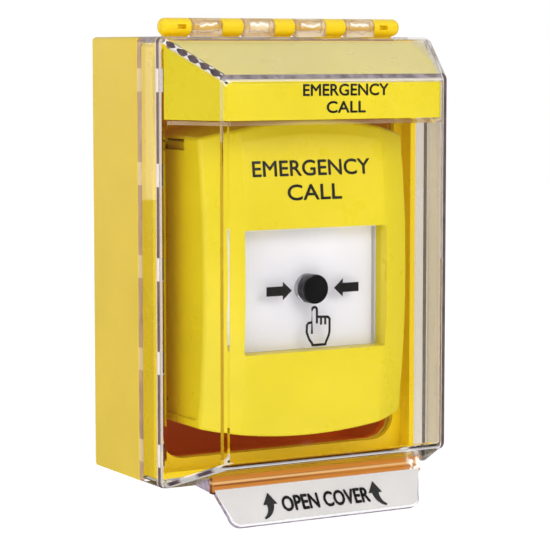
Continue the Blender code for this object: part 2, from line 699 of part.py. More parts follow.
def make_call_point_housing():
    shell = make_housing_shell()
    half = WINDOW_HALF_WIDTH
    sleeve = rounded_rectangle(-half - 1.7, WINDOW_BOTTOM - 1.7, half + 1.7, WINDOW_TOP + 1.7, 1.5)
    boolean(shell, plate("window_sleeve", sleeve, POINT_FRONT + 2.5, SLEEVE_REAR), "UNION")
    opening = rounded_rectangle(-half, WINDOW_BOTTOM, half, WINDOW_TOP, 1.0)
    boolean(shell, plate("window_opening", opening, -85, -60))
    boolean(shell, box("flag_slot", (-13, -72.3, WINDOW_TOP - 1), (13, -60, WINDOW_TOP + 5)))
    for number, (x, z) in enumerate(CHASSIS_SCREWS, 1):
        rear = CHASSIS_FRONT - GAP
        middle = (x, (rear + HOUSING_BOSS_FRONT) / 2, z)
        boss = cylinder(f"housing_boss_{number}", "Y", middle, 3.6, rear - HOUSING_BOSS_FRONT, sides=12)
        boolean(shell, boss, "UNION")
        boolean(shell, cylinder(f"housing_hole_{number}", "Y", (x, -60, z), 1.75, 12, sides=12))
    side = -POINT_HALF_WIDTH
    slot_low = (side - 3, KEY_SLOT_FRONT, KEY_SLOT_BOTTOM)
    boolean(shell, box("key_slot", slot_low, (side + 4, KEY_SLOT_REAR, KEY_SLOT_TOP)))
    boolean(shell, cylinder("release_hole", "X", (side, -37.0, -58.5), 1.1, 10, sides=10))


def point_outline(inset):
    """The call point's outline, seen from the front, moved inwards by inset."""
    half = POINT_HALF_WIDTH - inset
    steps = 10
    xs = [half * (1 - 2 * i / steps) for i in range(steps + 1)]
    corner = 1.6
    top = [(x, point_top(x, inset)) for x in xs]
    top[0] = (half, point_top(half, inset) - corner)
    top.insert(1, (half - corner, point_top(half, inset)))
    top[-1] = (-half, point_top(half, inset) - corner)
    top.insert(-1, (corner - half, point_top(half, inset)))
    bottom = [(x, point_bottom(x, inset)) for x in reversed(xs)]
    bottom[0] = (-half, point_bottom(half, inset) + corner)
    bottom.insert(1, (corner - half, point_bottom(half, inset)))
    bottom[-1] = (half, point_bottom(half, inset) + corner)
    bottom.insert(-1, (half - corner, point_bottom(half, inset)))
    return top + bottom


def make_call_point_base():
    base = plate("call_point_base", point_outline(0.0), POINT_SPLIT + GAP, BASE_REAR, "yellow_abs")
    boolean(base, plate("base_cavity", point_outline(POINT_WALL), POINT_SPLIT - 1, BASE_REAR - POINT_WALL))
    cable = rounded_rectangle(-13, CABLE_ENTRY_Z - 9, 13, CABLE_ENTRY_Z + 9, 3)
    boolean(base, plate("base_cable_entry", cable, BASE_REAR - 4, BASE_REAR + 1))
    for number, (x, z) in enumerate(base_screw_places(), 1):
        boolean(base, cylinder(f"base_hole_{number}", "Y", (x, BASE_REAR, z), 2.0, 8, sides=12))


def make_chassis_plate():
    outline = rounded_rectangle(-43.5, -60, 43.5, 40, 3)
    chassis = plate("chassis_plate", outline, CHASSIS_FRONT, CHASSIS_REAR, "grey_plastic")
    for number, (x, z) in enumerate(BOARD_SCREWS, 1):
        length = BOARD_FRONT - GAP - CHASSIS_REAR + 0.5
        middle = (x, CHASSIS_REAR - 0.5 + length / 2, z)
        boolean(chassis, cylinder(f"board_post_{number}", "Y", middle, 3.0, length, sides=12), "UNION")
        boolean(chassis, cylinder(f"post_hole_{number}", "Y", (x, BOARD_FRONT, z), 1.3, 14, sides=10))
    for side in (-1, 1):
        low, high = sorted((side * 4.2, side * 6.4))
        ear = box(f"trip_ear_{side}", (low, CHASSIS_REAR - 0.5, 4.5), (high, TRIP_PIVOT_Y + 2.8, 11.5))
        boolean(chassis, ear, "UNION")
    boolean(chassis, cylinder("ear_hole", "X", (0, TRIP_PIVOT_Y, TRIP_PIVOT_Z), 1.15, 16, sides=12))
    boolean(chassis, cylinder("plunger_hole", "Y", (0, CHASSIS_REAR, WINDOW_Z), 4.0, 8, sides=20))
    for side in (-1, 1):
        hole = (side * POST_X, CHASSIS_REAR, WINDOW_Z)
        boolean(chassis, cylinder(f"switch_post_hole_{side}", "Y", hole, 2.5, 8, sides=12))
    boolean(chassis, box("trip_arm_slot", (-2.4, CHASSIS_FRONT - 1, 7.0), (2.4, CHASSIS_REAR + 0.6, 24)))
    for number, (x, z) in enumerate(CHASSIS_SCREWS, 1):
        boolean(chassis, cylinder(f"chassis_hole_{number}", "Y", (x, CHASSIS_REAR, z), 1.9, 8, sides=12))


def make_circuit_board():
    outline = rounded_rectangle(-31, -47, 31, 30, 1.5)
    board = plate("circuit_board", outline, BOARD_FRONT, BOARD_REAR, "board")
    for number, (x, z) in enumerate(BOARD_SCREWS, 1):
        boolean(board, cylinder(f"board_hole_{number}", "Y", (x, BOARD_REAR, z), 1.5, 6, sides=10))


def make_terminal_block():
    """A four-way screw terminal block on the rear of the board, facing the cable entry."""
    low = (-16, TERMINAL_FRONT, TERMINAL_Z - 5)
    block = box("terminal_block", low, (16, TERMINAL_FRONT + 11, TERMINAL_Z + 5), "grey_plastic")
    for number in range(4):
        x = -12 + 8 * number
        well = (x, TERMINAL_FRONT + 9.5, TERMINAL_Z + 0.8)
        boolean(block, cylinder(f"terminal_well_{number + 1}", "Y", well, 2.6, 7, sides=12))
        mouth_low = (x - 2.2, TERMINAL_FRONT + 1.6, TERMINAL_Z - 7)
        mouth_high = (x + 2.2, TERMINAL_FRONT + 5.2, TERMINAL_Z - 1)
        boolean(block, box(f"wire_mouth_{number + 1}", mouth_low, mouth_high))
        make_screw(
            f"terminal_screw_{number + 1}", (x, TERMINAL_FRONT + 8.2, TERMINAL_Z + 0.8), (0, 1, 0),
            head=2.1, head_height=1.2, shank=1.2, length=1.8,
        )


def make_mechanism_screws():
    rear = (0, 1, 0)
    for number, (x, z) in enumerate(CHASSIS_SCREWS, 1):
        make_screw(f"chassis_screw_{number}", (x, CHASSIS_REAR + GAP, z), rear, length=10.0)
    for number, (x, z) in enumerate(BOARD_SCREWS, 1):
        make_screw(f"board_screw_{number}", (x, BOARD_REAR + GAP, z), rear, head=2.3, shank=1.0, length=7.0)


def make_micro_switches():
    """Two micro switches on the board. Their levers stand open until the side posts press them."""
    for name, side in (("left", -1), ("right", 1)):
        near, far = sorted((side * (SWITCH_PIVOT_X + 3), side * (SWITCH_PIVOT_X - LEVER_LENGTH - 2.6)))
        low = (near, SWITCH_PIVOT_Y + 0.7, WINDOW_Z - 5)
        body = box(f"{name}_micro_switch", low, (far, BOARD_FRONT - GAP, WINDOW_Z + 5), "black_plastic")
        bevel(body, 0.4, segments=1)
        pivot = (side * SWITCH_PIVOT_X, SWITCH_PIVOT_Y, WINDOW_Z)
        lever_end = pivot[0] - side * LEVER_LENGTH
        start, end = sorted((pivot[0] + side * 1.0, lever_end))
        strip_low = (start, SWITCH_PIVOT_Y - 0.3, WINDOW_Z - 2.2)
        strip = box_mesh(strip_low, (end, SWITCH_PIVOT_Y + 0.3, WINDOW_Z + 2.2))
        lever = object_of(strip, f"{name}_switch_lever", "steel", pivot)
        lever.rotation_euler = (0, 0, side * LEVER_REST_ANGLE)


def make_trip_lever():
    """A bell crank: the plunger pushes its lower arm, and its upper arm points at the flag's tail."""
    pivot = (0, TRIP_PIVOT_Y, TRIP_PIVOT_Z)
    low = (-3, TRIP_PIVOT_Y - 0.8, WINDOW_Z - 3.5)
    lever = object_of(
        box_mesh(low, (3, TRIP_PIVOT_Y + 0.8, TRIP_PIVOT_Z)), "trip_lever", "steel", pivot
    )
    boolean(lever, cylinder("trip_eye", "X", pivot, 2.6, 7.4, sides=16), "UNION")
    arm = box("trip_arm", (-1.4, TRIP_ARM_FRONT, TRIP_ARM_BOTTOM), (1.4, TRIP_PIVOT_Y, TRIP_ARM_TOP))
    boolean(lever, arm, "UNION")
    boolean(lever, cylinder("trip_bore", "X", pivot, 1.12, 12, sides=12))
    cylinder("trip_pin", "X", pivot, 1.0, 15, "steel", sides=12)


def make_reset_slider():
    """The bar behind the key slot: the reset key pushes it to the right."""
    inner = -POINT_HALF_WIDTH + POINT_WALL + 0.9
    slider = box("reset_slider", (inner, -50.0, KEY_SLOT_BOTTOM - GAP), (-27, -39.0, 47.6), "black_plastic")
    arm = box("reset_arm", (-40, -46.0, 16.0), (-36, -42.5, 45.6))
    boolean(slider, arm, "UNION")


# -------------------------------------------------------- operating element


def make_operating_element():
    half = WINDOW_HALF_WIDTH - ELEMENT_CLEARANCE
    low = WINDOW_BOTTOM + ELEMENT_CLEARANCE
    high = WINDOW_TOP - ELEMENT_CLEARANCE
    outline = rounded_rectangle(-half, low, half, high, 1.0)
    white = plate("white_plate", outline, PLATE_FRONT, PLATE_REAR, "white_plastic")
    for side in (-1, 1):
        tip = SWITCH_PIVOT_Y - 4.4
        length = tip - PLATE_REAR + 0.5
        middle = (side * POST_X, tip - length / 2, WINDOW_Z)
        boolean(white, cylinder(f"switch_post_{side}", "Y", middle, 2.0, length, sides=12), "UNION")
    make_operating_window(half, low, high)
    make_push_button()
    make_return_spring()


def make_operating_window(half, low, high):
    """Clear front, carried by a wall along its left and right edges, with a hole for the button."""
    outline = rounded_rectangle(-half, low, half, high, 1.0)
    window = plate("operating_window", outline, WINDOW_FRONT, PLATE_FRONT - GAP, "clear_polycarbonate")
    inner = half - 1.8
    rear_of_front = WINDOW_FRONT + WINDOW_THICKNESS
    boolean(window, box("window_hollow", (-inner, rear_of_front, low - 1), (inner, -60, high + 1)))
    place = (0, WINDOW_FRONT, WINDOW_Z)
    boolean(window, cylinder("button_hole", "Y", place, BUTTON_RADIUS + 0.35, 8, sides=32))


def make_push_button():
    profile = [
        (0, -BUTTON_FRONT), (BUTTON_RADIUS - 0.7, -BUTTON_FRONT), (BUTTON_RADIUS - 0.2, -BUTTON_FRONT - 0.2),
        (BUTTON_RADIUS, -BUTTON_FRONT - 0.7), (BUTTON_RADIUS, -BUTTON_REAR), (0, -BUTTON_REAR),
    ]
    turned("push_button", profile, "black_plastic", (0, 0, WINDOW_Z), (0, -1, 0), sides=32)
    stem_front = BUTTON_REAR + GAP
    stem_rear = PLATE_FRONT - GAP
    middle = (0, (stem_front + stem_rear) / 2, WINDOW_Z)
    stem_length = stem_rear - stem_front
    cylinder("button_stem", "Y", middle, BUTTON_RADIUS, stem_length, "clear_polycarbonate", sides=32)
    front = -PLATE_REAR - GAP
    tip = -TRIP_PIVOT_Y + 1.2
    step = front - COLLAR_THICKNESS
    profile = [(0, front), (5.6, front), (5.6, step), (3.5, step), (3.5, tip + 0.8), (2.7, tip), (0, tip)]
    turned("plunger", profile, "white_plastic", (0, 0, WINDOW_Z), (0, -1, 0), sides=20)


def make_return_spring():
    """A compression spring round the plunger, between its collar and the chassis plate."""
    wire = 0.45
    mean_radius = 4.6
    front = PLATE_REAR + GAP + COLLAR_THICKNESS + GAP + wire
    rear = CHASSIS_FRONT - GAP - wire
    turns = 4.5
    steps = 54
    curve = bpy.data.curves.new("return_spring", "CURVE")
    curve.dimensions = "3D"
    curve.bevel_depth = wire * MM
    curve.bevel_resolution = 1
    curve.use_fill_caps = True
    spline = curve.splines.new("POLY")
    spline.points.add(steps)
    for i, point in enumerate(spline.points):
        share = i / steps
        angle = 2 * math.pi * turns * share
        x = mean_radius * math.cos(angle)
        z = WINDOW_Z + mean_radius * math.sin(angle)
        point.co = (x * MM, (front + (rear - front) * share) * MM, z * MM, 1.0)
    spring = bpy.data.objects.new("return_spring", curve)
    curve.materials.append(MATERIALS["steel"])
    PARTS.objects.link(spring)


def make_indicator_flag():
    """Hidden above the window at rest, it drops into view in front of the white plate."""
    low = (-12, FLAG_FRONT, WINDOW_TOP + 0.5)
    flag = box("indicator_flag", low, (12, FLAG_FRONT + 0.9, 22.0), "yellow_abs", (0, 0, 0))
    boolean(flag, box("flag_tail", (-2, FLAG_FRONT + 0.2, 21.1), (2, -61.0, 21.9)), "UNION")


def main():
    make_back_box()
    make_conduit_plug()
    make_gasket()
    make_cover_frame()
    make_hinge_pin()
    make_enclosure_screws()
    make_clear_cover()
    make_tab_label()
    make_label_hood()
    make_call_point_housing()
    make_call_point_base()
    make_chassis_plate()
    make_circuit_board()
    make_terminal_block()
    make_mechanism_screws()
    make_micro_switches()
    make_trip_lever()
    make_reset_slider()
    make_operating_element()
    make_indicator_flag()


main()
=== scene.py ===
"""Looks of the manual call point under its clear cover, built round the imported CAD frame.

Metres, +Z up, the wall at y = 0 and the front towards -Y. The pieces' own lengths are written in
millimetres and go through MM, and most of their places come from the boxes of the CAD nodes. The
camera, the lamps and the floor are placed in metres.
"""

import json
import math

import bmesh
import bpy
from mathutils import Matrix, Vector
from mathutils.bvhtree import BVHTree

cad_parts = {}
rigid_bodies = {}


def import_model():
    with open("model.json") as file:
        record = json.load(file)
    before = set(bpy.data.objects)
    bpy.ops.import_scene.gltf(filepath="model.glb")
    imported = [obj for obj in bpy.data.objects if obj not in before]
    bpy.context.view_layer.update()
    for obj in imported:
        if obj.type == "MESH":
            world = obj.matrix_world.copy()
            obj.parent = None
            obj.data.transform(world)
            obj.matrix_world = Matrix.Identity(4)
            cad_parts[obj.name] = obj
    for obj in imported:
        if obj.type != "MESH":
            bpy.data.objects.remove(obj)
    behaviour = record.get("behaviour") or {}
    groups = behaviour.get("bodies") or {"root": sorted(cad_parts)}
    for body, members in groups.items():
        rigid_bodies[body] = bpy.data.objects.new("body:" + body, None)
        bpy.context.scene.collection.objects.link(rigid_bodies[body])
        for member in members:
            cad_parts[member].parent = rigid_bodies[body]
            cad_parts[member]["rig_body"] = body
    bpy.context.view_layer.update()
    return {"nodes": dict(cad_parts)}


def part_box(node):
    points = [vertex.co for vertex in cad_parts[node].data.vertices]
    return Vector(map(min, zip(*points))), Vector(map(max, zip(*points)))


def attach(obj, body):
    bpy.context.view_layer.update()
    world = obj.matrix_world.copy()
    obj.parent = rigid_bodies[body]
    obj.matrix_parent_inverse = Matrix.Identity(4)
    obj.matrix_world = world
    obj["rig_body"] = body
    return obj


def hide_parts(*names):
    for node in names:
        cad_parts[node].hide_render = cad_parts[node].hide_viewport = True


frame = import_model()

MM = 0.001
# Points closer than this, in metres, count as one.
TOUCHING = 0.00001

# ------------------------------------------------------------------ camera

CAMERA_PLACE = (-0.4769, -0.8731, 0.0862)
CAMERA_YAW = 29.87
CAMERA_PITCH = 5.67
CAMERA_LENS = 148.48
SENSOR_WIDTH = 36.0


def make_camera():
    data = bpy.data.cameras.new("camera")
    data.lens = CAMERA_LENS
    data.sensor_width = SENSOR_WIDTH
    camera = bpy.data.objects.new("camera", data)
    camera.location = CAMERA_PLACE
    camera.rotation_euler = (math.radians(90 - CAMERA_PITCH), 0, math.radians(-CAMERA_YAW))
    bpy.context.scene.collection.objects.link(camera)
    bpy.context.scene.camera = camera


# --------------------------------------------------- measures of the cover

# What the cover's design adds to its CAD box, in millimetres.
COVER_WALL = 2.2
SHOULDER = -62.8
FACE_HALF_WIDTH = 52.5
FACE_TOP = 75.5
FACE_BOTTOM = -79.5
HINGE_Y = -48.0
HINGE_Z = 95.6
KNUCKLE_RADIUS = 3.6
END_ROUNDING = 2.6
PIN_BORE_RADIUS = 1.35
FRAME_KNUCKLES = ((-57.3, -44.0), (-29.5, -19.9), (-4.7, 4.7), (19.9, 29.5), (44.0, 57.3))
COVER_KNUCKLES = ((-43.7, -29.8), (-19.6, -5.0), (5.0, 19.6), (29.8, 43.7))
TAB_Y = -78.1
TAB_ROOT_Z = -90.8
RIDGE_BOTTOM = -92.2
RIDGE_TOP = -84.9
RIDGE_HALF_DEPTH = 1.5
TAB_HALF_TOP = 50.0
TAB_HALF_BOTTOM = 45.6
TAB_LENGTH = 16.9
TAB_THICKNESS = 2.0
TAB_CORNER_RADIUS = 5.0
TAB_TILT = math.radians(30.6)
RIB_PLACES = (-78, -40, -2, 36, 74)
RIB_LENGTH = 9.4
RIB_REAR = -58.8
GUSSET_REAR = -64.5
LEDGE_BOTTOM = 56.4
LEDGE_TOP = 58.0
LEDGE_DEPTH = 4.2
CORNER_RADIUS = 2.2
HOOD_FRONT_X = 50.6
HOOD_FRONT_TOP = 73.8
HOOD_WALL = 1.5
FRAME_FRONT = -54.6
FRAME_FLOOR = -47.4
FRAME_REAR = -44.9
FRAME_WALL = 2.5
MOUTH_HALF_WIDTH = 56
MOUTH_HALF_HEIGHT = 82.5
MOUTH_RADIUS = 10

# From the CAD boxes, in metres.
COVER_LOW, COVER_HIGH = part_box("clear_cover")
HALF_WIDTH = COVER_HIGH.x
HALF_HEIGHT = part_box("back_box")[1].z
SLOPE_DEPTH = SHOULDER * MM - COVER_LOW.y


# --------------------------------------------------------------- materials


class Nodes:
    """The node tree of a material or a world, with short calls for the nodes used here."""

    def __init__(self, owner, output="ShaderNodeOutputMaterial", coordinates="Object"):
        owner.use_nodes = True
        self.owner = owner
        self.tree = owner.node_tree
        self.tree.nodes.clear()
        self.output = self.add(output)
        self.place = self.add("ShaderNodeTexCoord").outputs[coordinates]

    def add(self, kind, **values):
        node = self.tree.nodes.new(kind)
        for key, value in values.items():
            setattr(node, key, value)
        return node

    def link(self, source, target):
        self.tree.links.new(source, target)

    def give(self, socket, value):
        """Sets a socket to a number or a colour, or links it to another socket."""
        if isinstance(value, (int, float, tuple)):
            socket.default_value = value
        else:
            self.link(value, socket)

    def done(self, shader):
        """Shows the shader and returns the material or world."""
        self.link(shader.outputs[0], self.output.inputs["Surface"])
        return self.owner

    def noise(self, scale, detail=3.0, roughness=0.5, stretch=(1, 1, 1)):
        mapping = self.add("ShaderNodeMapping")
        mapping.inputs["Scale"].default_value = stretch
        self.link(self.place, mapping.inputs["Vector"])
        node = self.add("ShaderNodeTexNoise")
        node.inputs["Scale"].default_value = scale
        node.inputs["Detail"].default_value = detail
        node.inputs["Roughness"].default_value = roughness
        self.link(mapping.outputs["Vector"], node.inputs["Vector"])
        return node.outputs["Fac"]

    def spread(self, source, low, high, source_low=0.3, source_high=0.7):
        node = self.add("ShaderNodeMapRange")
        node.inputs["From Min"].default_value = source_low
        node.inputs["From Max"].default_value = source_high
        node.inputs["To Min"].default_value = low
        node.inputs["To Max"].default_value = high
        self.link(source, node.inputs["Value"])
        return node.outputs["Result"]

    def math(self, operation, first, second=None, third=None):
        node = self.add("ShaderNodeMath", operation=operation)
        for socket, value in zip(node.inputs, (first, second, third)):
            if value is not None:
                self.give(socket, value)
        return node.outputs[0]

    def axes(self):
        split = self.add("ShaderNodeSeparateXYZ")
        self.link(self.place, split.inputs[0])
        return split.outputs

    def inside(self, value, low, high, soft=0.0002):
        """1 where value lies between low and high, with soft ends."""
        rise = self.spread(value, 0, 1, low - soft, low + soft)
        fall = self.spread(value, 1, 0, high - soft, high + soft)
        return self.math("MULTIPLY", rise, fall)

    def above(self, value, limit, soft=0.0001):
        return self.spread(value, 0, 1, limit - soft, limit + soft)

    def below(self, value, limit, soft=0.0001):
        return self.spread(value, 1, 0, limit - soft, limit + soft)

    def product(self, first, *others):
        for other in others:
            first = self.math("MULTIPLY", first, other)
        return first

    def mix_colours(self, share, first, second, blend_type):
        node = self.add("ShaderNodeMix", data_type="RGBA", blend_type=blend_type)
        # Sockets 6 and 7 are the colours A and B.
        for index, value in ((0, share), (6, first), (7, second)):
            self.give(node.inputs[index], value)
        return node.outputs[2]

    def blend(self, share, first, second):
        """A colour between two colours or colour sockets."""
        return self.mix_colours(share, first, second, "MIX")

    def multiplied(self, first, second):
        """The product of two colours or colour sockets."""
        return self.mix_colours(1.0, first, second, "MULTIPLY")

    def mixed(self, share, first, second):
        """A shader between two shaders."""
        node = self.add("ShaderNodeMixShader")
        self.link(share, node.inputs[0])
        self.link(first.outputs[0], node.inputs[1])
        self.link(second.outputs[0], node.inputs[2])
        return node

    def bump(self, height, strength, distance, below=None):
        node = self.add("ShaderNodeBump")
        node.inputs["Strength"].default_value = strength
        node.inputs["Distance"].default_value = distance
        self.link(height, node.inputs["Height"])
        if below is not None:
            self.link(below, node.inputs["Normal"])
        return node.outputs["Normal"]

    def principled(self, **values):
        shader = self.add("ShaderNodeBsdfPrincipled")
        for key, value in values.items():
            self.give(shader.inputs[key.replace("_", " ")], value)
        return shader

    def background(self, colour, strength):
        shader = self.add("ShaderNodeBackground")
        self.give(shader.inputs["Color"], colour)
        self.give(shader.inputs["Strength"], strength)
        return shader

    def mirrored_ray(self):
        """1 for what a shiny face mirrors, else 0."""
        depth = self.add("ShaderNodeLightPath").outputs["Glossy Depth"]
        return self.math("GREATER_THAN", depth, 0.5)


def material_nodes(name):
    return Nodes(bpy.data.materials.new(name))


def rgb(red, green, blue):
    """A colour given as 0 to 255 screen values, as the linear one that Blender uses."""
    def linear(value):
        share = value / 255
        return share / 12.92 if share <= 0.04045 else ((share + 0.055) / 1.055) ** 2.4
    return (linear(red), linear(green), linear(blue), 1.0)


WHITE = (1.0, 1.0, 1.0, 1.0)


def darker(colour, share):
    return tuple(channel * share for channel in colour[:3]) + (1.0,)


def moulded_shader(n, colour, roughness, grain=0.12, coat=0.0, glow=None):
    """Moulded plastic: a fine grain, slow flow marks, and dust and wear that dull the gloss in patches.

    The emission colour, when given, is a painted glow that stands in for the light coming through the
    plastic from outside.
    """
    cloudy = n.noise(28, 4.0)
    fine = n.noise(2600, 2.0)
    shade = n.blend(n.spread(cloudy, 0, 1), rgb(246, 246, 246), rgb(255, 255, 255))
    specks = n.spread(n.noise(900, 1.0), 0, 0.5, 0.71, 0.78)
    shade = n.blend(specks, shade, rgb(232, 232, 232))
    tone = n.multiplied(colour, shade)
    gloss = n.spread(n.noise(60, 5.0, 0.6), roughness - 0.05, roughness + 0.07)
    flow = n.bump(n.noise(45, 2.0, stretch=(1, 1, 0.35)), 0.05, 0.0006)
    lit = {} if glow is None else {"Emission_Color": glow, "Emission_Strength": 0.1}
    shader = n.principled(
        Base_Color=tone, Roughness=gloss, Normal=n.bump(fine, grain, 0.00006, flow),
        Coat_Weight=coat, Coat_Roughness=0.12, IOR=1.5, **lit,
    )
    return n.done(shader)


def moulded_plastic(name, colour, roughness, **settings):
    return moulded_shader(material_nodes(name), colour, roughness, **settings)


def box_plastic(name, outside):
    """The back box: paler on its outside; inside, painted shade and bounce light, deep orange low down where
    yellow walls tint the light, with a painted glow.
    """
    n = material_nodes(name)
    x, y, z = n.axes()
    # Painted shade and bounce light: the box's inside turns deeper orange towards the bottom.
    inside = n.blend(n.below(z, -45 * MM, 20 * MM), rgb(224, 158, 44), rgb(222, 104, 10))
    within_x = n.below(n.math("ABSOLUTE", x), 62.2 * MM, 0.4 * MM)
    within_z = n.below(n.math("ABSOLUTE", z), 88.8 * MM, 0.4 * MM)
    behind = n.inside(y, -42.8 * MM, -2.8 * MM, 0.2 * MM)
    painted_inside_zone = n.product(within_x, within_z, behind)
    # A painted glow in the same orange, only inside the box.
    glow = n.blend(painted_inside_zone, rgb(0, 0, 0), inside)
    return moulded_shader(n, n.blend(painted_inside_zone, outside, inside), 0.42, grain=0.16, glow=glow)


def clear_plastic(name, tint, index=1.5, lift=0.0, marks=None):
    """Clear plastic that lets lamps through. lift is the share that doesn't bend light, for thick edges.

    marks(n) may give a share and a colour, to paint the light that thick clear edges show: painted
    refraction lines and painted highlights.
    """
    n = material_nodes(name)
    haze = n.spread(n.noise(35, 6.0, 0.65), 0, 0.02, 0.55, 0.8)
    colour = n.blend(n.spread(n.noise(20, 2.0), 0, 1), darker(tint, 0.985), tint)
    wave = n.bump(n.noise(32, 2.0, stretch=(1, 1, 0.5)), 0.1, 0.0005)
    glass = n.principled(Base_Color=colour, Roughness=haze, IOR=index, Transmission_Weight=1.0, Normal=wave)
    through = n.add("ShaderNodeBsdfTransparent")
    n.link(colour, through.inputs["Color"])
    path = n.add("ShaderNodeLightPath").outputs
    lamplight = n.math("MAXIMUM", path["Is Shadow Ray"], path["Is Diffuse Ray"])
    clear = n.mixed(n.math("MAXIMUM", lamplight, lift), glass, through)
    if marks is not None:
        # Painted refraction and painted highlights, laid over the glass as an opaque colour.
        share, painted_light_colour = marks(n)
        line = n.principled(Base_Color=painted_light_colour, Roughness=0.3)
        seen = n.math("SUBTRACT", 1.0, lamplight)
        clear = n.mixed(n.math("MULTIPLY", share, seen), clear, line)
    return n.done(clear)


def rib_pattern(n, z):
    """1 where a rib stands behind the skirt's left corner."""
    pitch = (RIB_PLACES[1] - RIB_PLACES[0]) * MM
    lowest = (RIB_PLACES[0] - RIB_LENGTH / 2) * MM
    turn = n.math("DIVIDE", n.math("SUBTRACT", z, lowest), pitch)
    phase = n.math("MULTIPLY", n.math("FRACT", n.math("ADD", turn, 10.0)), pitch)
    return n.inside(phase, 0.0, RIB_LENGTH * MM)


def layered(n, layers):
    """One share and one colour from several (share, colour) layers, the last on top."""
    share, colour = layers[0]
    for next_share, next_colour in layers[1:]:
        colour = n.blend(next_share, colour, next_colour)
        share = n.math("MAXIMUM", share, next_share)
    return share, colour


def left_painted_strips(n):
    """Painted refraction lines and painted highlights along the front corner and the rear edge of the
    skirt's left side.
    """
    x, y, z = n.axes()
    outside = n.below(x, 1.2 * MM - HALF_WIDTH)
    rib = rib_pattern(n, z)

    def strip(front, rear, strength):
        return n.product(n.inside(y, front * MM, rear * MM), outside, strength)
    speck = n.noise(300, 3.0, stretch=(1, 1, 0.3))
    dark = n.blend(n.spread(speck, 0, 1), rgb(66, 46, 52), rgb(112, 88, 92))
    brown = n.blend(n.spread(speck, 0, 1), rgb(150, 92, 40), rgb(204, 148, 78))
    # Dark, brown and orange strips are painted refraction, paler where a rib stands behind; the white ones
    # are painted highlights.
    return [
        (strip(-47.4, -43.3, 0.75), n.blend(rib, brown, rgb(238, 204, 130))),
        (strip(-59.6, -59.1, 0.6), rgb(206, 140, 70)),
        (strip(-60.4, -59.6, 0.6), rgb(248, 234, 216)),
        (strip(-62.3, -60.4, 0.95), n.blend(rib, dark, rgb(240, 230, 224))),
        (strip(-64.0, -62.6, 0.6), rgb(244, 232, 226)),
    ]


def skirt_painted_light(n):
    """Painted light on the flat walls: the painted strips on the left, and on the right a painted grey for
    the light seen through the side wall.
    """
    column = n.noise(130, 2.0, stretch=(1, 1, 0.01))
    grey = n.blend(n.spread(column, 0, 1, 0.4, 0.6), rgb(196, 187, 178), rgb(232, 224, 216))
    side = n.above(n.axes()[0], (FACE_HALF_WIDTH + 0.6) * MM)
    return layered(n, [(n.product(side, 0.2), grey)] + left_painted_strips(n))


def corner_painted_light(n):
    """The thick rounded corners, which bend so much light that they show dark and bright lines, here painted
    as refraction and highlights.
    """
    x, y, z = n.axes()
    left, right = n.below(x, 0.0), n.above(x, 0.0)
    upper, lower = n.above(z, 0.0), n.below(z, 0.0)
    in_front = n.below(y, -92.2 * MM)
    skirt = n.above(y, -64.2 * MM)
    rough = n.noise(160, 3.0, 0.6)
    # Painted refraction in dusky and dark tones, and a painted highlight.
    dusk = n.blend(n.spread(rough, 0, 1, 0.4, 0.6), rgb(84, 68, 76), rgb(152, 136, 140))
    dark = n.blend(n.spread(rough, 0, 1, 0.35, 0.65), rgb(56, 42, 48), rgb(98, 78, 82))
    bright = rgb(248, 245, 243)

    def front_line(value, start, end, strength):
        return n.product(in_front, n.inside(value, start * MM, end * MM), strength)
    sloping = n.inside(y, -92.8 * MM, -64.2 * MM, 0.4 * MM)
    slope_left, slope_right = [n.product(sloping, side) for side in (left, right)]
    top_gap, bottom_gap = slope_gaps(n)
    # On the lower slanted edge: a band of painted highlight, with blobs of painted dark refraction in it.
    low_blobs = n.math(
        "ADD", n.inside(y, -71.9 * MM, -65.9 * MM, 0.7 * MM), n.inside(y, -88.2 * MM, -80.2 * MM, 0.9 * MM)
    )
    low_edge = n.inside(bottom_gap, -2.4 * MM, 2.4 * MM, 0.3 * MM)
    low_middle = n.inside(bottom_gap, -2.0 * MM, 0.6 * MM, 0.3 * MM)
    rope, rope_highlight_band = rope_pattern(n, y, top_gap)
    return layered(n, [
        (n.product(slope_left, upper, rope_highlight_band, 0.75), bright),
        (n.product(slope_left, upper, rope), dark),
        (n.product(slope_left, lower, low_edge, 0.45), bright),
        (n.product(slope_left, lower, low_middle, low_blobs), dark),
        (n.product(slope_right, upper, 0.6), dusk),
        (n.product(skirt, left, n.above(z, HALF_HEIGHT - 2.6 * MM), 0.85), dusk),
        (n.product(skirt, left, n.below(z, 1.2 * MM - HALF_HEIGHT), 0.85), dusk),
        (front_line(z, FACE_TOP - 1.7, FACE_TOP - 1.3, 0.6), bright),
        (front_line(z, FACE_TOP - 1.3, FACE_TOP - 0.7, 0.5), rgb(176, 164, 168)),
        (n.product(in_front, n.above(z, (FACE_TOP - 0.7) * MM), 0.92), dusk),
        (front_line(z, FACE_BOTTOM - 0.4, FACE_BOTTOM + 0.4, 0.75), rgb(206, 201, 204)),
        (front_line(z, FACE_BOTTOM + 0.4, FACE_BOTTOM + 0.7, 0.9), dusk),
        (front_line(x, FACE_HALF_WIDTH - 2.4, FACE_HALF_WIDTH - 2.0, 0.85), bright),
        (n.product(in_front, n.above(x, (FACE_HALF_WIDTH - 2.0) * MM), 0.97), dark),
    ] + left_painted_strips(n))


def slope_gaps(n):
    """How far a point lies from the dome's slanted upper edges, and from its lower ones, 0 on the edge."""
    x, y, z = n.axes()
    depth = n.math("ADD", y, -SHOULDER * MM)

    def wall(half, face_half):
        """The distance from the middle at which the sloping wall stands, at this depth."""
        return n.math("MULTIPLY_ADD", depth, (half - face_half * MM) / SLOPE_DEPTH, half)
    from_side = n.math("SUBTRACT", wall(HALF_WIDTH, FACE_HALF_WIDTH), n.math("ABSOLUTE", x))
    from_top = n.math("SUBTRACT", wall(HALF_HEIGHT, FACE_TOP), z)
    from_bottom = n.math("ADD", wall(HALF_HEIGHT, -FACE_BOTTOM), z)
    return n.math("SUBTRACT", from_side, from_top), n.math("SUBTRACT", from_side, from_bottom)


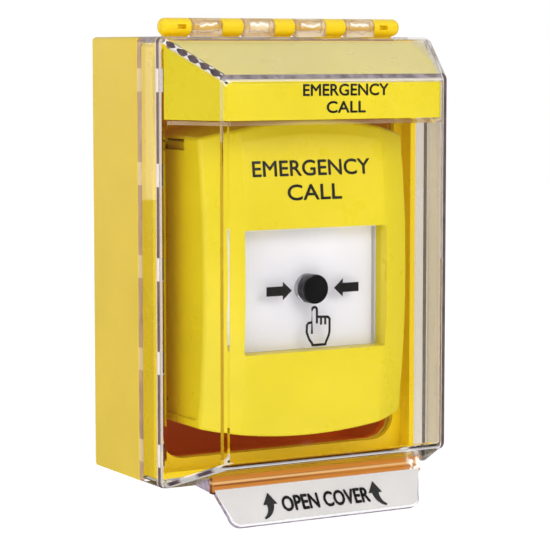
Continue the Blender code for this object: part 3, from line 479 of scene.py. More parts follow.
def rope_pattern(n, y, gap):
    """Where a slanted edge's painted light goes: a chain of dark lens shapes, longer at the front, and the
    band they lie in, for a painted highlight.
    """
    wander = n.math("MULTIPLY", n.noise(170, 2.0), 0.004)
    turn = n.math("MULTIPLY", n.math("ADD", y, wander), 2 * math.pi / (5.2 * MM))
    across = n.math("DIVIDE", gap, 1.6 * MM)
    lens = n.math("MULTIPLY_ADD", n.product(across, across), -1.2, n.math("SINE", turn))
    limit = n.spread(y, -1.25, -0.8, -92.5 * MM, -64 * MM)
    return n.above(n.math("SUBTRACT", lens, limit), 0.0, 0.15), n.inside(across, -1.1, 1.1, 0.1)


def ledge_painted_light(n):
    """The ledge under the hood: a pale strip of painted refraction, with a painted highlight at the front
    corners.
    """
    x, y, _ = n.axes()
    streak = n.noise(220, 2.0, stretch=(0.3, 0.3, 1))
    pale = n.blend(n.spread(streak, 0, 1), rgb(206, 182, 142), rgb(236, 222, 196))
    beside = n.above(n.math("ABSOLUTE", x), 47.8 * MM)
    corner = n.product(n.below(y, -90.5 * MM), beside)
    share = n.spread(beside, 0.25, 0.5, 0, 1)
    return layered(n, [(share, pale), (n.product(corner, 0.9), rgb(248, 246, 242))])


def ridge_painted_light(n):
    """Amber light caught in the ridge over the tab, painted: painted refraction in lines along it, a painted
    highlight line, darker along its foot, and a painted highlight on the glassy right end.
    """
    x, _, z = n.axes()
    bands = n.noise(520, 2.0, stretch=(0.006, 1, 1))
    amber = n.blend(n.spread(bands, 0, 1, 0.45, 0.53), rgb(112, 52, 4), rgb(192, 118, 28))
    glow_line = n.product(n.inside(z, -88.2 * MM, -87.2 * MM, 0.3 * MM), 0.7)
    amber = n.blend(glow_line, amber, rgb(234, 192, 130))
    amber = n.blend(n.below(z, -91.4 * MM), amber, rgb(96, 46, 18))
    facet = n.spread(n.noise(380, 2.0), 0, 1, 0.42, 0.5)
    glassy_highlight = n.product(n.above(x, 43.5 * MM, 1.2 * MM), facet)
    return layered(n, [(0.9, amber), (glassy_highlight, rgb(244, 236, 226))])


def gusset_painted_light(n):
    """The gussets beside the ridge and the rim of the tab, painted in the dusky violet that a thick clear
    edge shows: painted refraction.
    """
    shade = n.noise(260, 3.0)
    violet = n.blend(n.spread(shade, 0, 1), rgb(118, 98, 124), rgb(196, 182, 200))
    return n.spread(shade, 0.55, 0.8), violet


def knuckle_painted_light(n):
    """Hinge knuckles of the cover: beige painted refraction, painted lines where the hollow inside bends the
    light, and a long painted highlight.
    """
    x, _, z = n.axes()
    middles = [(start + end) / 2 * MM for start, end in COVER_KNUCKLES if start > 0]
    away = n.math("ABSOLUTE", x)
    inner, outer = [n.math("ABSOLUTE", n.math("SUBTRACT", away, middle)) for middle in middles]
    wander = n.math("MULTIPLY", n.math("SUBTRACT", n.noise(240, 1.0), 0.5), 0.003)
    along = n.math("ADD", n.math("MINIMUM", inner, outer), wander)
    height = n.math("ADD", n.math("SUBTRACT", z, HINGE_Z * MM), wander)
    facet = n.noise(150, 0.0, stretch=(0.45, 1, 1.6))
    beige = n.blend(n.spread(facet, 0, 1, 0.4, 0.6), rgb(222, 180, 108), rgb(244, 226, 192))
    brown = rgb(146, 104, 72)
    within = n.below(along, 5.1 * MM)

    def level(low, high):
        return n.inside(height, low * MM, high * MM)
    return layered(n, [
        (n.spread(facet, 0.4, 0.65), beige),
        (n.product(n.inside(along, 4.7 * MM, 5.1 * MM), level(-2.2, 2.4), 0.8), brown),
        (n.product(within, level(2.1, 2.4), 0.8), brown),
        (n.product(within, level(-2.2, -1.9), 0.8), brown),
        (n.product(n.below(along, 4.2 * MM), level(0.3, 1.4), 0.85), rgb(255, 252, 246)),
        (n.product(n.above(along, 6.3 * MM), 0.45), brown),
    ])


def brushed_steel(name):
    n = material_nodes(name)
    gloss = n.spread(n.noise(1200, 3.0, stretch=(1, 0.1, 1)), 0.24, 0.42)
    tone = n.blend(n.spread(n.noise(150, 3.0), 0, 1), rgb(172, 174, 178), rgb(205, 206, 208))
    shader = n.principled(Base_Color=tone, Roughness=gloss, Metallic=1.0)
    return n.done(shader)


def foam_rubber(name):
    n = material_nodes(name)
    cells = n.noise(1800, 3.0, 0.7)
    tone = n.blend(n.spread(cells, 0, 1), rgb(18, 18, 19), rgb(40, 40, 41))
    shader = n.principled(Base_Color=tone, Roughness=0.9, Normal=n.bump(cells, 0.6, 0.0002))
    return n.done(shader)


def circuit_green(name):
    """Solder mask over copper tracks that run in straight lines."""
    n = material_nodes(name)
    stripes = n.math("FRACT", n.math("MULTIPLY", n.axes()[0], 420.0))
    broken = n.spread(n.noise(90, 1.0, stretch=(1, 1, 0.3)), 0, 1, 0.52, 0.54)
    track = n.math("MULTIPLY", n.inside(stripes, 0.1, 0.45, 0.03), broken)
    tone = n.blend(track, rgb(18, 88, 44), rgb(36, 128, 66))
    shader = n.principled(Base_Color=tone, Roughness=0.35, Normal=n.bump(track, 0.4, 0.00005))
    return n.done(shader)


def striped_flag(name):
    """Slanted black stripes on bright yellow, as on the flag of any resettable call point."""
    n = material_nodes(name)
    x, _, z = n.axes()
    slant = n.math("FRACT", n.math("MULTIPLY", n.math("ADD", x, n.math("ADD", z, 1.0)), 170.0))
    stripe = n.inside(slant, 0.04, 0.5, 0.02)
    fleck = n.spread(n.noise(800, 2.0), 0.9, 1.0)
    tone = n.blend(n.math("MULTIPLY", stripe, fleck), rgb(240, 222, 20), rgb(20, 20, 20))
    shader = n.principled(Base_Color=tone, Roughness=0.45)
    return n.done(shader)


def ink(name):
    """Black print, slightly uneven in density and gloss."""
    n = material_nodes(name)
    patch = n.noise(700, 4.0, 0.6)
    tone = n.blend(n.spread(patch, 0, 1), rgb(14, 13, 13), rgb(30, 28, 27))
    shader = n.principled(Base_Color=tone, Roughness=n.spread(patch, 0.3, 0.5))
    return n.done(shader)


def vinyl_label(name):
    n = material_nodes(name)
    fibre = n.noise(1500, 3.0)
    tone = n.blend(n.spread(n.noise(40, 3.0), 0, 1), rgb(204, 201, 199), rgb(213, 210, 208))
    shader = n.principled(
        Base_Color=tone, Roughness=n.spread(fibre, 0.32, 0.45), Normal=n.bump(fibre, 0.08, 0.00005)
    )
    return n.done(shader)


# ------------------------------------------------------------------ shapes


def object_from(bm, name, outward=True):
    """An object from bm, with the faces turned outward unless it is a flat shape that needs no such turn."""
    if outward:
        bmesh.ops.recalc_face_normals(bm, faces=bm.faces)
    mesh = bpy.data.meshes.new(name)
    bm.to_mesh(mesh)
    bm.free()
    obj = bpy.data.objects.new(name, mesh)
    bpy.context.scene.collection.objects.link(obj)
    return obj


def settle(obj, name=None):
    """Applies an object's modifiers and place to its mesh, and returns it as a plain mesh object."""
    bpy.context.view_layer.update()
    graph = bpy.context.evaluated_depsgraph_get()
    mesh = bpy.data.meshes.new_from_object(obj.evaluated_get(graph))
    mesh.transform(obj.matrix_world)
    name = name or obj.name
    final = bpy.data.objects.new(name, mesh)
    bpy.context.scene.collection.objects.link(final)
    bpy.data.objects.remove(obj)
    # The old object may have held this name until now.
    final.name = name
    return final


def add_bevel(obj, width, segments, angle=35.0):
    modifier = obj.modifiers.new("edges", "BEVEL")
    modifier.width = width * MM
    modifier.segments = segments
    modifier.limit_method = "ANGLE"
    modifier.angle_limit = math.radians(angle)
    modifier.harden_normals = False
    return obj


def smooth(obj, angle=35.0):
    obj.data.shade_smooth()
    obj.data.set_sharp_from_angle(angle=math.radians(angle))
    weighted = obj.modifiers.new("normals", "WEIGHTED_NORMAL")
    weighted.keep_sharp = True
    return obj


def paint(obj, material):
    obj.data.materials.clear()
    obj.data.materials.append(material)
    return obj


def refine(node, name, material, width):
    """A finer copy of a CAD node: its flat faces made whole again and its hard edges rounded."""
    source = frame["nodes"][node]
    bm = bmesh.new()
    bm.from_mesh(source.data)
    bmesh.ops.remove_doubles(bm, verts=bm.verts, dist=TOUCHING)
    bmesh.ops.dissolve_limit(
        bm, angle_limit=math.radians(0.4), verts=bm.verts, edges=bm.edges, use_dissolve_boundaries=False
    )
    obj = object_from(bm, name + "_rough")
    add_bevel(obj, width, 2)
    obj.modifiers["edges"].use_clamp_overlap = True
    obj = paint(smooth(settle(obj, name)), material)
    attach(obj, source["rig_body"])
    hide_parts(node)


def cutter_box(low, high):
    bm = bmesh.new()
    low = Vector(low) * MM
    high = Vector(high) * MM
    size = high - low
    bmesh.ops.create_cube(
        bm, size=1.0, matrix=Matrix.Translation((low + high) / 2) @ Matrix.Diagonal((*size, 1.0))
    )
    return object_from(bm, "tool_box")


def rod_mesh(centre, radius, length, sides=48):
    """A closed cylinder along X."""
    bm = bmesh.new()
    along_x = Matrix.Rotation(math.pi / 2, 4, "Y")
    bmesh.ops.create_cone(
        bm, cap_ends=True, segments=sides, radius1=radius * MM, radius2=radius * MM, depth=length * MM,
        matrix=Matrix.Translation(Vector(centre) * MM) @ along_x,
    )
    return bm


def rod(centre, radius, length, sides=48):
    return object_from(rod_mesh(centre, radius, length, sides), "tool_rod")


def flat_plate(points, front, rear):
    """A flat outline of (x, z) points in millimetres, from y = front to y = rear."""
    bm = bmesh.new()
    face = bm.faces.new([bm.verts.new((x * MM, front * MM, z * MM)) for x, z in points])
    pushed = bmesh.ops.extrude_face_region(bm, geom=[face])
    moved = [item for item in pushed["geom"] if isinstance(item, bmesh.types.BMVert)]
    bmesh.ops.translate(bm, verts=moved, vec=(0, (rear - front) * MM, 0))
    return object_from(bm, "plate")


def rounded_rectangle(left, bottom, right, top, radius, steps=6):
    points = []
    for x, z, quarter in ((right, top, 0), (left, top, 1), (left, bottom, 2), (right, bottom, 3)):
        inner_x = x - math.copysign(radius, x - (left + right) / 2)
        inner_z = z - math.copysign(radius, z - (bottom + top) / 2)
        for step in range(steps + 1):
            angle = (quarter + step / steps) * math.pi / 2
            points.append((inner_x + radius * math.cos(angle), inner_z + radius * math.sin(angle)))
    return points


def combine(target, tools, operation="DIFFERENCE"):
    """Cuts or joins the tools, one after the other, and leaves the result in the target's mesh."""
    for tool in tools:
        modifier = target.modifiers.new("shape", "BOOLEAN")
        modifier.operation = operation
        modifier.solver = "EXACT"
        modifier.object = tool
    result = settle(target)
    for tool in tools:
        bpy.data.objects.remove(tool)
    return result


# ------------------------------------------------------------- clear cover

# Each of the cover's faces is of one of these kinds, and each kind has its own clear material.
CLEAR_KINDS = ("flat", "corner", "ledge", "ridge", "gusset", "knuckle")


def open_loft(outlines, name):
    """A tube through outlines of as many points each, closed at the first outline and open at the last."""
    bm = bmesh.new()
    made = [[bm.verts.new(Vector(point) * MM) for point in outline] for outline in outlines]
    bm.faces.new(made[0])
    count = len(made[0])
    for near, far in zip(made, made[1:]):
        for i in range(count):
            bm.faces.new((near[i], near[(i + 1) % count], far[(i + 1) % count], far[i]))
    return object_from(bm, name)


def ring(half_width, bottom, top, y):
    return [(-half_width, y, bottom), (half_width, y, bottom), (half_width, y, top), (-half_width, y, top)]


def tab_outline(half_top, half_bottom, top, bottom, radius, steps=8):
    """A tab that narrows downwards and has round lower corners, as (x, z) points."""
    points = [(half_top, top), (-half_top, top)]
    for side in (-1, 1):
        for step in range(steps + 1):
            turn = step / steps * math.pi / 2
            across, down = math.cos(turn), math.sin(turn)
            if side > 0:
                across, down = down, across
            points.append((side * (half_bottom - radius + radius * across), bottom + radius - radius * down))
    return points


def on_tab(obj):
    """Moves a piece made at y = 0 into the tab's plane."""
    root = Matrix.Translation(Vector((0, TAB_Y, TAB_ROOT_Z)) * MM)
    obj.data.transform(root @ Matrix.Rotation(-TAB_TILT, 4, "X"))
    return obj


def dome_share(y):
    """How far y lies from the shoulder, 0, to the front face, 1."""
    return (SHOULDER - y) * MM / SLOPE_DEPTH


def dome_half_width(y):
    return HALF_WIDTH / MM + (FACE_HALF_WIDTH - HALF_WIDTH / MM) * dome_share(y)


def dome_bottom(y):
    return -HALF_HEIGHT / MM + (FACE_BOTTOM + HALF_HEIGHT / MM) * dome_share(y)


def kind(obj, name):
    """Gives all of obj's faces the clear cover's material of that kind."""
    while len(obj.data.materials) < len(CLEAR_KINDS):
        obj.data.materials.append(None)
    for face in obj.data.polygons:
        face.material_index = CLEAR_KINDS.index(name)
    return obj


def prism(points, along, low, high):
    """A flat outline of points in the two axes other than along, from low to high on that axis."""
    bm = bmesh.new()
    ends = []
    for level in (low, high):
        places = [(a, b, level) if along == "Z" else (level, a, b) for a, b in points]
        ends.append([bm.verts.new(Vector(place) * MM) for place in places])
    bm.faces.new(ends[0])
    bm.faces.new(list(reversed(ends[1])))
    for i in range(len(points)):
        after = (i + 1) % len(points)
        bm.faces.new((ends[0][i], ends[1][i], ends[1][after], ends[0][after]))
    return object_from(bm, "tool_prism")


def clear_surface():
    """The cover's shell, whose rounded corners are of the corner kind."""
    half_x = HALF_WIDTH / MM
    half_z = HALF_HEIGHT / MM
    shell = open_loft(
        [
            ring(FACE_HALF_WIDTH, FACE_BOTTOM, FACE_TOP, COVER_LOW.y / MM),
            ring(half_x, -half_z, half_z, SHOULDER),
            ring(half_x, -half_z, half_z, COVER_HIGH.y / MM),
        ],
        "cover_surface",
    )
    kind(shell, "flat")
    add_bevel(shell, CORNER_RADIUS, 6, 20)
    shell.modifiers["edges"].material = CLEAR_KINDS.index("corner")
    wall = shell.modifiers.new("wall", "SOLIDIFY")
    wall.thickness = COVER_WALL * MM
    wall.offset = -1.0
    wall.use_even_offset = True
    return settle(shell, "clear_shell")


def hood_ledges(front):
    start = front + 1.2
    half = dome_half_width(start) - COVER_WALL
    pieces = [cutter_box((-half, start, LEDGE_BOTTOM), (half, start + LEDGE_DEPTH, LEDGE_TOP))]
    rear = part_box("label_hood")[1].y / MM - 2.4
    for side in (-1, 1):
        outline = [(side * (dome_half_width(y) - 1.2), y) for y in (start + 1.0, rear)]
        outline += [(side * (dome_half_width(y) - 1.2 - LEDGE_DEPTH), y) for y in (rear, start + 1.0)]
        pieces.append(prism(outline, "Z", LEDGE_BOTTOM, LEDGE_TOP))
    return [kind(piece, "ledge") for piece in pieces]


def lift_tab():
    front, rear = TAB_Y - RIDGE_HALF_DEPTH, TAB_Y + RIDGE_HALF_DEPTH
    ridge = cutter_box((-TAB_HALF_TOP, front, RIDGE_BOTTOM), (TAB_HALF_TOP, rear, RIDGE_TOP))
    pieces = [kind(ridge, "ridge")]
    gusset = [
        (front + 0.2, RIDGE_BOTTOM + 0.1), (front + 0.2, dome_bottom(front) + 1.0),
        (GUSSET_REAR, dome_bottom(GUSSET_REAR) + 1.0), (GUSSET_REAR, dome_bottom(GUSSET_REAR) - 0.2),
    ]
    outside = TAB_HALF_TOP - 0.1
    for side in (-1, 1):
        rib = prism(gusset, "X", *sorted((side * outside, side * (outside - 1.5))))
        pieces.append(kind(rib, "gusset"))
    outline = tab_outline(TAB_HALF_TOP - 0.4, TAB_HALF_BOTTOM, 0.6, -TAB_LENGTH, TAB_CORNER_RADIUS)
    tab = kind(flat_plate(outline, -TAB_THICKNESS / 2, TAB_THICKNESS / 2), "gusset")
    for face in tab.data.polygons:
        if abs(face.normal.y) > 0.9:
            face.material_index = CLEAR_KINDS.index("flat")
    return pieces + [on_tab(tab)]


def make_clear_cover(materials):
    """materials holds one material for each of CLEAR_KINDS, in that order."""
    half_x = HALF_WIDTH / MM
    half_z = HALF_HEIGHT / MM
    shell = clear_surface()
    reach = half_x - COVER_WALL - 0.2
    shell = combine(shell, [cutter_box((-reach, HINGE_Y - 0.8, half_z - 3.0), (reach, -41, half_z + 1))])
    added = hood_ledges(COVER_LOW.y / MM)
    for start, end in COVER_KNUCKLES:
        web_low = (start + 0.01, HINGE_Y - 3.4, half_z - 1.1)
        web = cutter_box(web_low, (end - 0.01, HINGE_Y - 1.0, HINGE_Z))
        barrel = rod(((start + end) / 2, HINGE_Y, HINGE_Z), KNUCKLE_RADIUS, end - start)
        added += [kind(web, "knuckle"), kind(barrel, "knuckle")]
    inside = half_x - COVER_WALL
    for z in RIB_PLACES:
        bottom, top = z - RIB_LENGTH / 2, z + RIB_LENGTH / 2
        rib = cutter_box((-inside - 0.8, SHOULDER + 0.5, bottom), (-inside + 0.9, RIB_REAR, top))
        added.append(kind(rib, "flat"))
    shell = combine(shell, added + lift_tab(), "UNION")
    bore = kind(rod((0, HINGE_Y, HINGE_Z), PIN_BORE_RADIUS, 111, 24), "knuckle")
    shell = combine(shell, [bore])
    add_bevel(shell, 0.25, 2, 50)
    shell = smooth(settle(shell, "clear_shell"), 40)
    for i, material in enumerate(materials):
        shell.data.materials[i] = material
    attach(shell, "cover")
    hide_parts("clear_cover")


def make_tab_sheet(material):
    """The white sheet on the lift tab, cut to the tab's own outline just inside its rim."""
    rim = 0.9
    half_bottom, radius = TAB_HALF_BOTTOM - rim, TAB_CORNER_RADIUS - rim
    outline = tab_outline(TAB_HALF_TOP - 0.6, half_bottom, -0.05, rim - TAB_LENGTH, radius)
    tab_front = -TAB_THICKNESS / 2
    sheet = on_tab(flat_plate(outline, tab_front - 0.4, tab_front - 0.02))
    sheet = paint(settle(sheet, "tab_sheet"), material)
    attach(sheet, "cover")
    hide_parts("tab_label")


def make_plate_face(material):
    """A white face over the plate, nearly as large as the housing's opening, so no dark gap shows there."""
    left, bottom, right, top = WINDOW
    gap = 0.12
    outline = rounded_rectangle(left + gap, bottom + gap, right - gap, top - gap, 0.9)
    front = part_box("white_plate")[0].y / MM
    face = flat_plate(outline, front - 0.03, front + 0.6)
    face = paint(settle(face, "plate_face"), material)
    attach(face, "button")


def make_hood(material):
    """The yellow insert that carries the label, open underneath and behind."""
    low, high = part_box("label_hood")
    bottom, rear_top = low.z / MM, high.z / MM
    front, rear = low.y / MM, high.y / MM
    bm = bmesh.new()
    spots = {}
    for side in (-1, 1):
        for key, y, half, z in (
            ("front_low", front, HOOD_FRONT_X, bottom), ("front_high", front, HOOD_FRONT_X, HOOD_FRONT_TOP),
            ("rear_low", rear, high.x / MM, bottom), ("rear_high", rear, high.x / MM, rear_top),
        ):
            spots[side, key] = bm.verts.new(Vector((side * half, y, z)) * MM)
    for side in (-1, 1):
        bm.faces.new([spots[side, key] for key in ("rear_low", "front_low", "front_high", "rear_high")])
    for lower, upper in (("front_low", "front_high"), ("front_high", "rear_high")):
        bm.faces.new([spots[-1, lower], spots[1, lower], spots[1, upper], spots[-1, upper]])
    hood = object_from(bm, "hood_surface")
    add_bevel(hood, 1.7, 6, 20)
    wall = hood.modifiers.new("wall", "SOLIDIFY")
    wall.thickness = HOOD_WALL * MM
    wall.offset = -1.0
    hood = paint(smooth(settle(hood, "hood_insert"), 40), material)
    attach(hood, "cover")
    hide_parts("label_hood")
    return hood


def frame_knuckle(start, end, outer_ends):
    """A hinge knuckle of the yellow frame, round at the outer end of the barrel."""
    bm = rod_mesh(((start + end) / 2, HINGE_Y, HINGE_Z), KNUCKLE_RADIUS, end - start)
    for x in (start, end):
        rim = [edge for edge in bm.edges if all(abs(vert.co.x - x * MM) < TOUCHING for vert in edge.verts)]
        rounding = END_ROUNDING if x in outer_ends else 0.25
        bmesh.ops.bevel(bm, geom=rim, offset=rounding * MM, segments=6, profile=0.5, affect="EDGES")
    return object_from(bm, "tool_knuckle")


def make_frame(material):
    """The yellow ring inside the skirt, with the fixed half of the hinge."""
    low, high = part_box("cover_frame")
    half_x = high.x / MM
    half_z = -low.z / MM
    body = flat_plate(rounded_rectangle(-half_x, -half_z, half_x, half_z, 2), FRAME_FRONT, FRAME_REAR)
    inner_x, inner_z = half_x - FRAME_WALL, half_z - FRAME_WALL
    recess = rounded_rectangle(-inner_x, -inner_z, inner_x, inner_z, 1.5)
    mouth_x, mouth_z = MOUTH_HALF_WIDTH, MOUTH_HALF_HEIGHT
    mouth = rounded_rectangle(-mouth_x, -mouth_z, mouth_x, mouth_z, MOUTH_RADIUS, 10)
    cuts = [
        flat_plate(recess, FRAME_FRONT - 1, FRAME_FLOOR), flat_plate(mouth, FRAME_FRONT - 1, FRAME_REAR + 1),
    ]
    body = combine(body, cuts)
    outer_ends = (FRAME_KNUCKLES[0][0], FRAME_KNUCKLES[-1][1])
    added = []
    for start, end in FRAME_KNUCKLES:
        leaf_start = start + (END_ROUNDING if start in outer_ends else 0.01)
        leaf_end = end - (END_ROUNDING if end in outer_ends else 0.01)
        added.append(cutter_box((leaf_start, HINGE_Y + 0.1, half_z - 1.6), (leaf_end, FRAME_REAR, HINGE_Z)))
        added.append(frame_knuckle(start, end, outer_ends))
    body = combine(body, added, "UNION")
    cuts = [rod((0, HINGE_Y, HINGE_Z), PIN_BORE_RADIUS, 109.8, 24)]
    for side in (-1, 1):
        near, far = sorted((side * 46.5, side * 50.5))
        cuts.append(cutter_box((near, HINGE_Y - 5, HINGE_Z - 0.9), (far, HINGE_Y, HINGE_Z + 0.9)))
    body = add_bevel(combine(body, cuts), 0.2, 2, 50)
    body = paint(smooth(settle(body, "frame_ring"), 35), material)
    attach(body, "enclosure")
    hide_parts("cover_frame")


# --------------------------------------------------------------- housing

POINT_TOP = 57.9
POINT_TOP_DROP = 7.1
POINT_BOTTOM = -73.2
POINT_BOTTOM_RISE = 5.5
PANEL_HALF_WIDTH = 33.4
SHOULDER_DEPTH = 7.0
FRONT_BULGE = 6.0
POINT_WALL = 2.6
WINDOW = (-33.8, -37.3, 33.8, 13.6)
PANEL_STEP = 0.25
PANEL_EDGE = 5.5
RELEASE_HOLE = (-37.0, -58.5)
KEY_SLOT = ((-53.2, 45.4), (-33.6, 50.0))

HOUSING_LOW, HOUSING_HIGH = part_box("call_point_housing")
POINT_HALF_WIDTH = HOUSING_HIGH.x / MM
POINT_FRONT = HOUSING_LOW.y / MM
POINT_SPLIT = HOUSING_HIGH.y / MM


def point_top(x):
    return POINT_TOP - POINT_TOP_DROP * (x / POINT_HALF_WIDTH) ** 2


def point_bottom(x):
    return POINT_BOTTOM + POINT_BOTTOM_RISE * (x / POINT_HALF_WIDTH) ** 2


def point_front(x, z):
    """The housing front's y at (x, z), all in millimetres. The middle panel stands a little proud."""
    shoulder = max(0.0, abs(x) - PANEL_HALF_WIDTH) / (POINT_HALF_WIDTH - PANEL_HALF_WIDTH)
    height = (z - (POINT_TOP + POINT_BOTTOM) / 2) / ((POINT_TOP - POINT_BOTTOM) / 2)
    on_panel = abs(x) < PANEL_HALF_WIDTH and point_bottom(x) + PANEL_EDGE < z < point_top(x) - PANEL_EDGE
    step = 0 if on_panel else PANEL_STEP
    return POINT_FRONT + SHOULDER_DEPTH * shoulder ** 1.2 + FRONT_BULGE * height ** 2 + step


def spaced(stops, counts):
    """Places from the first stop to the last, with that many equal steps between neighbours."""
    places = [stops[0]]
    for start, end, count in zip(stops, stops[1:], counts):
        places += [start + (end - start) * (i + 1) / count for i in range(count)]
    return places


def make_housing(material):
    half = POINT_HALF_WIDTH
    right = spaced((0, PANEL_HALF_WIDTH - 0.6, PANEL_HALF_WIDTH, half), (8, 1, 10))
    columns = [-x for x in reversed(right[1:])] + right
    edge = PANEL_EDGE / (POINT_TOP - POINT_BOTTOM)
    shares = spaced((0, edge, edge + 0.004, 1 - edge - 0.004, 1 - edge, 1), (3, 1, 24, 1, 3))
    bm = bmesh.new()
    grid = []
    for share in shares:
        row = []
        for x in columns:
            z = point_bottom(x) + share * (point_top(x) - point_bottom(x))
            row.append(bm.verts.new(Vector((x, point_front(x, z), z)) * MM))
        grid.append(row)
    for lower, upper in zip(grid, grid[1:]):
        for i in range(len(columns) - 1):
            bm.faces.new((lower[i], lower[i + 1], upper[i + 1], upper[i]))
    rim = [edge for edge in bm.edges if edge.is_boundary]
    pulled = bmesh.ops.extrude_edge_only(bm, edges=rim)
    for item in pulled["geom"]:
        if isinstance(item, bmesh.types.BMVert):
            item.co.y = POINT_SPLIT * MM
    shell = object_from(bm, "housing_surface")
    add_bevel(shell, 2.4, 6, 48)
    wall = shell.modifiers.new("wall", "SOLIDIFY")
    wall.thickness = POINT_WALL * MM
    wall.offset = -1.0
    wall.use_even_offset = True
    shell = settle(shell, "point_housing")
    left, bottom, right_edge, top = WINDOW
    sleeve_outline = rounded_rectangle(left - 1.7, bottom - 1.7, right_edge + 1.7, top + 1.7, 1.5)
    sleeve = flat_plate(sleeve_outline, -74.9, -65.3)
    shell = combine(shell, [sleeve], "UNION")
    tools = [
        flat_plate(rounded_rectangle(left, bottom, right_edge, top, 1.0), -85, -60),
        cutter_box((-13, -72.3, top - 1), (13, -60, top + 5)),
        cutter_box((-half - 3, *KEY_SLOT[0]), (-half + 4, *KEY_SLOT[1])),
        rod((-half, *RELEASE_HOLE), 1.1, 10, 24),
    ]
    shell = combine(shell, tools)
    add_bevel(shell, 0.35, 3, 50)
    shell = paint(smooth(settle(shell, "point_housing"), 30), material)
    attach(shell, "enclosure")
    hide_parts("call_point_housing")
    return shell


# ---------------------------------------------------------------- printing


def surface_under(obj):
    """A function that gives the y of obj's front at (x, z), all in millimetres."""
    bm = bmesh.new()
    bm.from_mesh(obj.data)
    tree = BVHTree.FromBMesh(bm)
    bm.free()

    def front(x, z):
        hit = tree.ray_cast(Vector((x * MM, -0.2, z * MM)), Vector((0, 1, 0)))[0]
        return hit.y / MM
    return front


def printed(name, flat, front, body, material, proud=0.06):
    """Lays a flat shape, whose mesh holds (x, z) in metres, on the surface that front gives."""
    for vert in flat.data.vertices:
        level = front(vert.co.x / MM, vert.co.z / MM) * MM
        vert.co.y = level - proud * MM
    wall = flat.modifiers.new("film", "SOLIDIFY")
    wall.thickness = proud * 0.7 * MM
    wall.offset = 0.0
    flat = paint(settle(flat, name), material)
    flat.data.shade_flat()
    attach(flat, body)
    return flat


def lettering(text, cap_height, width, x, z, bolder=0.16):
    """One line of capitals in Blender's own font, as a flat mesh that spans width, in millimetres.

    Each letter is laid down five times, moved by bolder in each direction, which thickens its strokes.
    """
    curve = bpy.data.curves.new("letters", "FONT")
    curve.body = text
    curve.align_x = "CENTER"
    curve.size = 1.0
    curve.resolution_u = 4
    obj = bpy.data.objects.new("letters", curve)
    bpy.context.scene.collection.objects.link(obj)
    obj = settle(obj, "letters")
    xs = [vert.co.x for vert in obj.data.vertices]
    ys = [vert.co.y for vert in obj.data.vertices]
    stretch_x = (width - 2 * bolder) / (max(xs) - min(xs))
    stretch_z = (cap_height - 2 * bolder) / (max(ys) - min(ys))
    middle = (max(xs) + min(xs)) / 2
    floor = (max(ys) + min(ys)) / 2
    for vert in obj.data.vertices:
        vert.co = Vector((x + (vert.co.x - middle) * stretch_x, 0, z + (vert.co.y - floor) * stretch_z)) * MM
    copies = [obj]
    for shift in ((-bolder, 0), (bolder, 0), (0, -bolder), (0, bolder)):
        copy = bpy.data.objects.new("letters", obj.data.copy())
        copy.data.transform(Matrix.Translation(Vector((shift[0], 0, shift[1])) * MM))
        bpy.context.scene.collection.objects.link(copy)
        copies.append(copy)
    return join(copies)


def flat_shape(points):
    bm = bmesh.new()
    face = bm.faces.new([bm.verts.new((x * MM, 0, z * MM)) for x, z in points])
    face.normal_update()
    if face.normal.y > 0:
        face.normal_flip()
    return object_from(bm, "shape", outward=False)


def arrow(tip, z, direction, length=12.0, head=4.3, head_height=7.7, shaft=3.9):
    """A straight arrow whose tip is at (tip, z). direction is 1 to point right and -1 to point left."""
    back = tip - direction * length
    neck = tip - direction * head
    return flat_shape([
        (tip, z), (neck, z + head_height / 2), (neck, z + shaft / 2), (back, z + shaft / 2),
        (back, z - shaft / 2), (neck, z - shaft / 2), (neck, z - head_height / 2),
    ])


def stroke(points, width):
    """A flat ribbon of even width along an open line of (x, z) points, with square corners."""
    bm = bmesh.new()
    sides = ([], [])
    for i, point in enumerate(points):
        here = Vector(point)
        before = (here - Vector(points[i - 1])).normalized() if i else None
        after = (Vector(points[i + 1]) - here).normalized() if i + 1 < len(points) else None
        next_run = after or before
        along = ((before or after) + next_run).normalized()
        away = Vector((-along.y, along.x))
        reach = width / 2 / max(0.5, away.dot(Vector((-next_run.y, next_run.x))))
        for side, direction in zip(sides, (1, -1)):
            spot = here + away * reach * direction
            side.append(bm.verts.new((spot.x * MM, 0, spot.y * MM)))
    left, right = sides
    for i in range(len(points) - 1):
        bm.faces.new((left[i], left[i + 1], right[i + 1], right[i]))
    return object_from(bm, "stroke", outward=False)


def arc(cx, cz, radius, start, end, steps=6):
    """Points of an arc, with its angles in degrees."""
    points = []
    for step in range(steps + 1):
        angle = math.radians(start + (end - start) * step / steps)
        points.append((cx + radius * math.cos(angle), cz + radius * math.sin(angle)))
    return points


HAND_LEFT, HAND_TOP = -3.4, -19.4


def hand_lines():
    """A plain pointing hand: one raised finger, three folded ones and the thumb, as open lines."""
    x, z = HAND_LEFT, HAND_TOP
    finger = [(x + 2.9, z - 11.2), (x + 2.9, z - 1.2)]
    finger += arc(x + 4.1, z - 1.3, 1.2, 180, 0)
    finger.append((x + 5.3, z - 7.0))
    outline = (
        [(x + 2.9, z - 6.4), (x + 1.2, z - 6.6), (x + 0.5, z - 7.4), (x + 0.4, z - 10.5)]
        + [(x + 1.6, z - 13.4), (x + 3.0, z - 15.2), (x + 3.2, z - 15.9), (x + 9.4, z - 15.9)]
        + [(x + 9.6, z - 15.0), (x + 11.0, z - 12.2), (x + 11.4, z - 10.4), (x + 11.4, z - 5.4)]
        + [(x + 10.6, z - 4.5), (x + 5.3, z - 4.2)]
    )
    knuckles = [[(x + shift, z - 4.6), (x + shift, z - 7.6)] for shift in (7.3, 9.3)]
    return [finger, outline] + knuckles


def join(objects):
    """One mesh object from several."""
    bm = bmesh.new()
    for obj in objects:
        bm.from_mesh(obj.data)
        bpy.data.objects.remove(obj)
    return object_from(bm, "joined", outward=False)


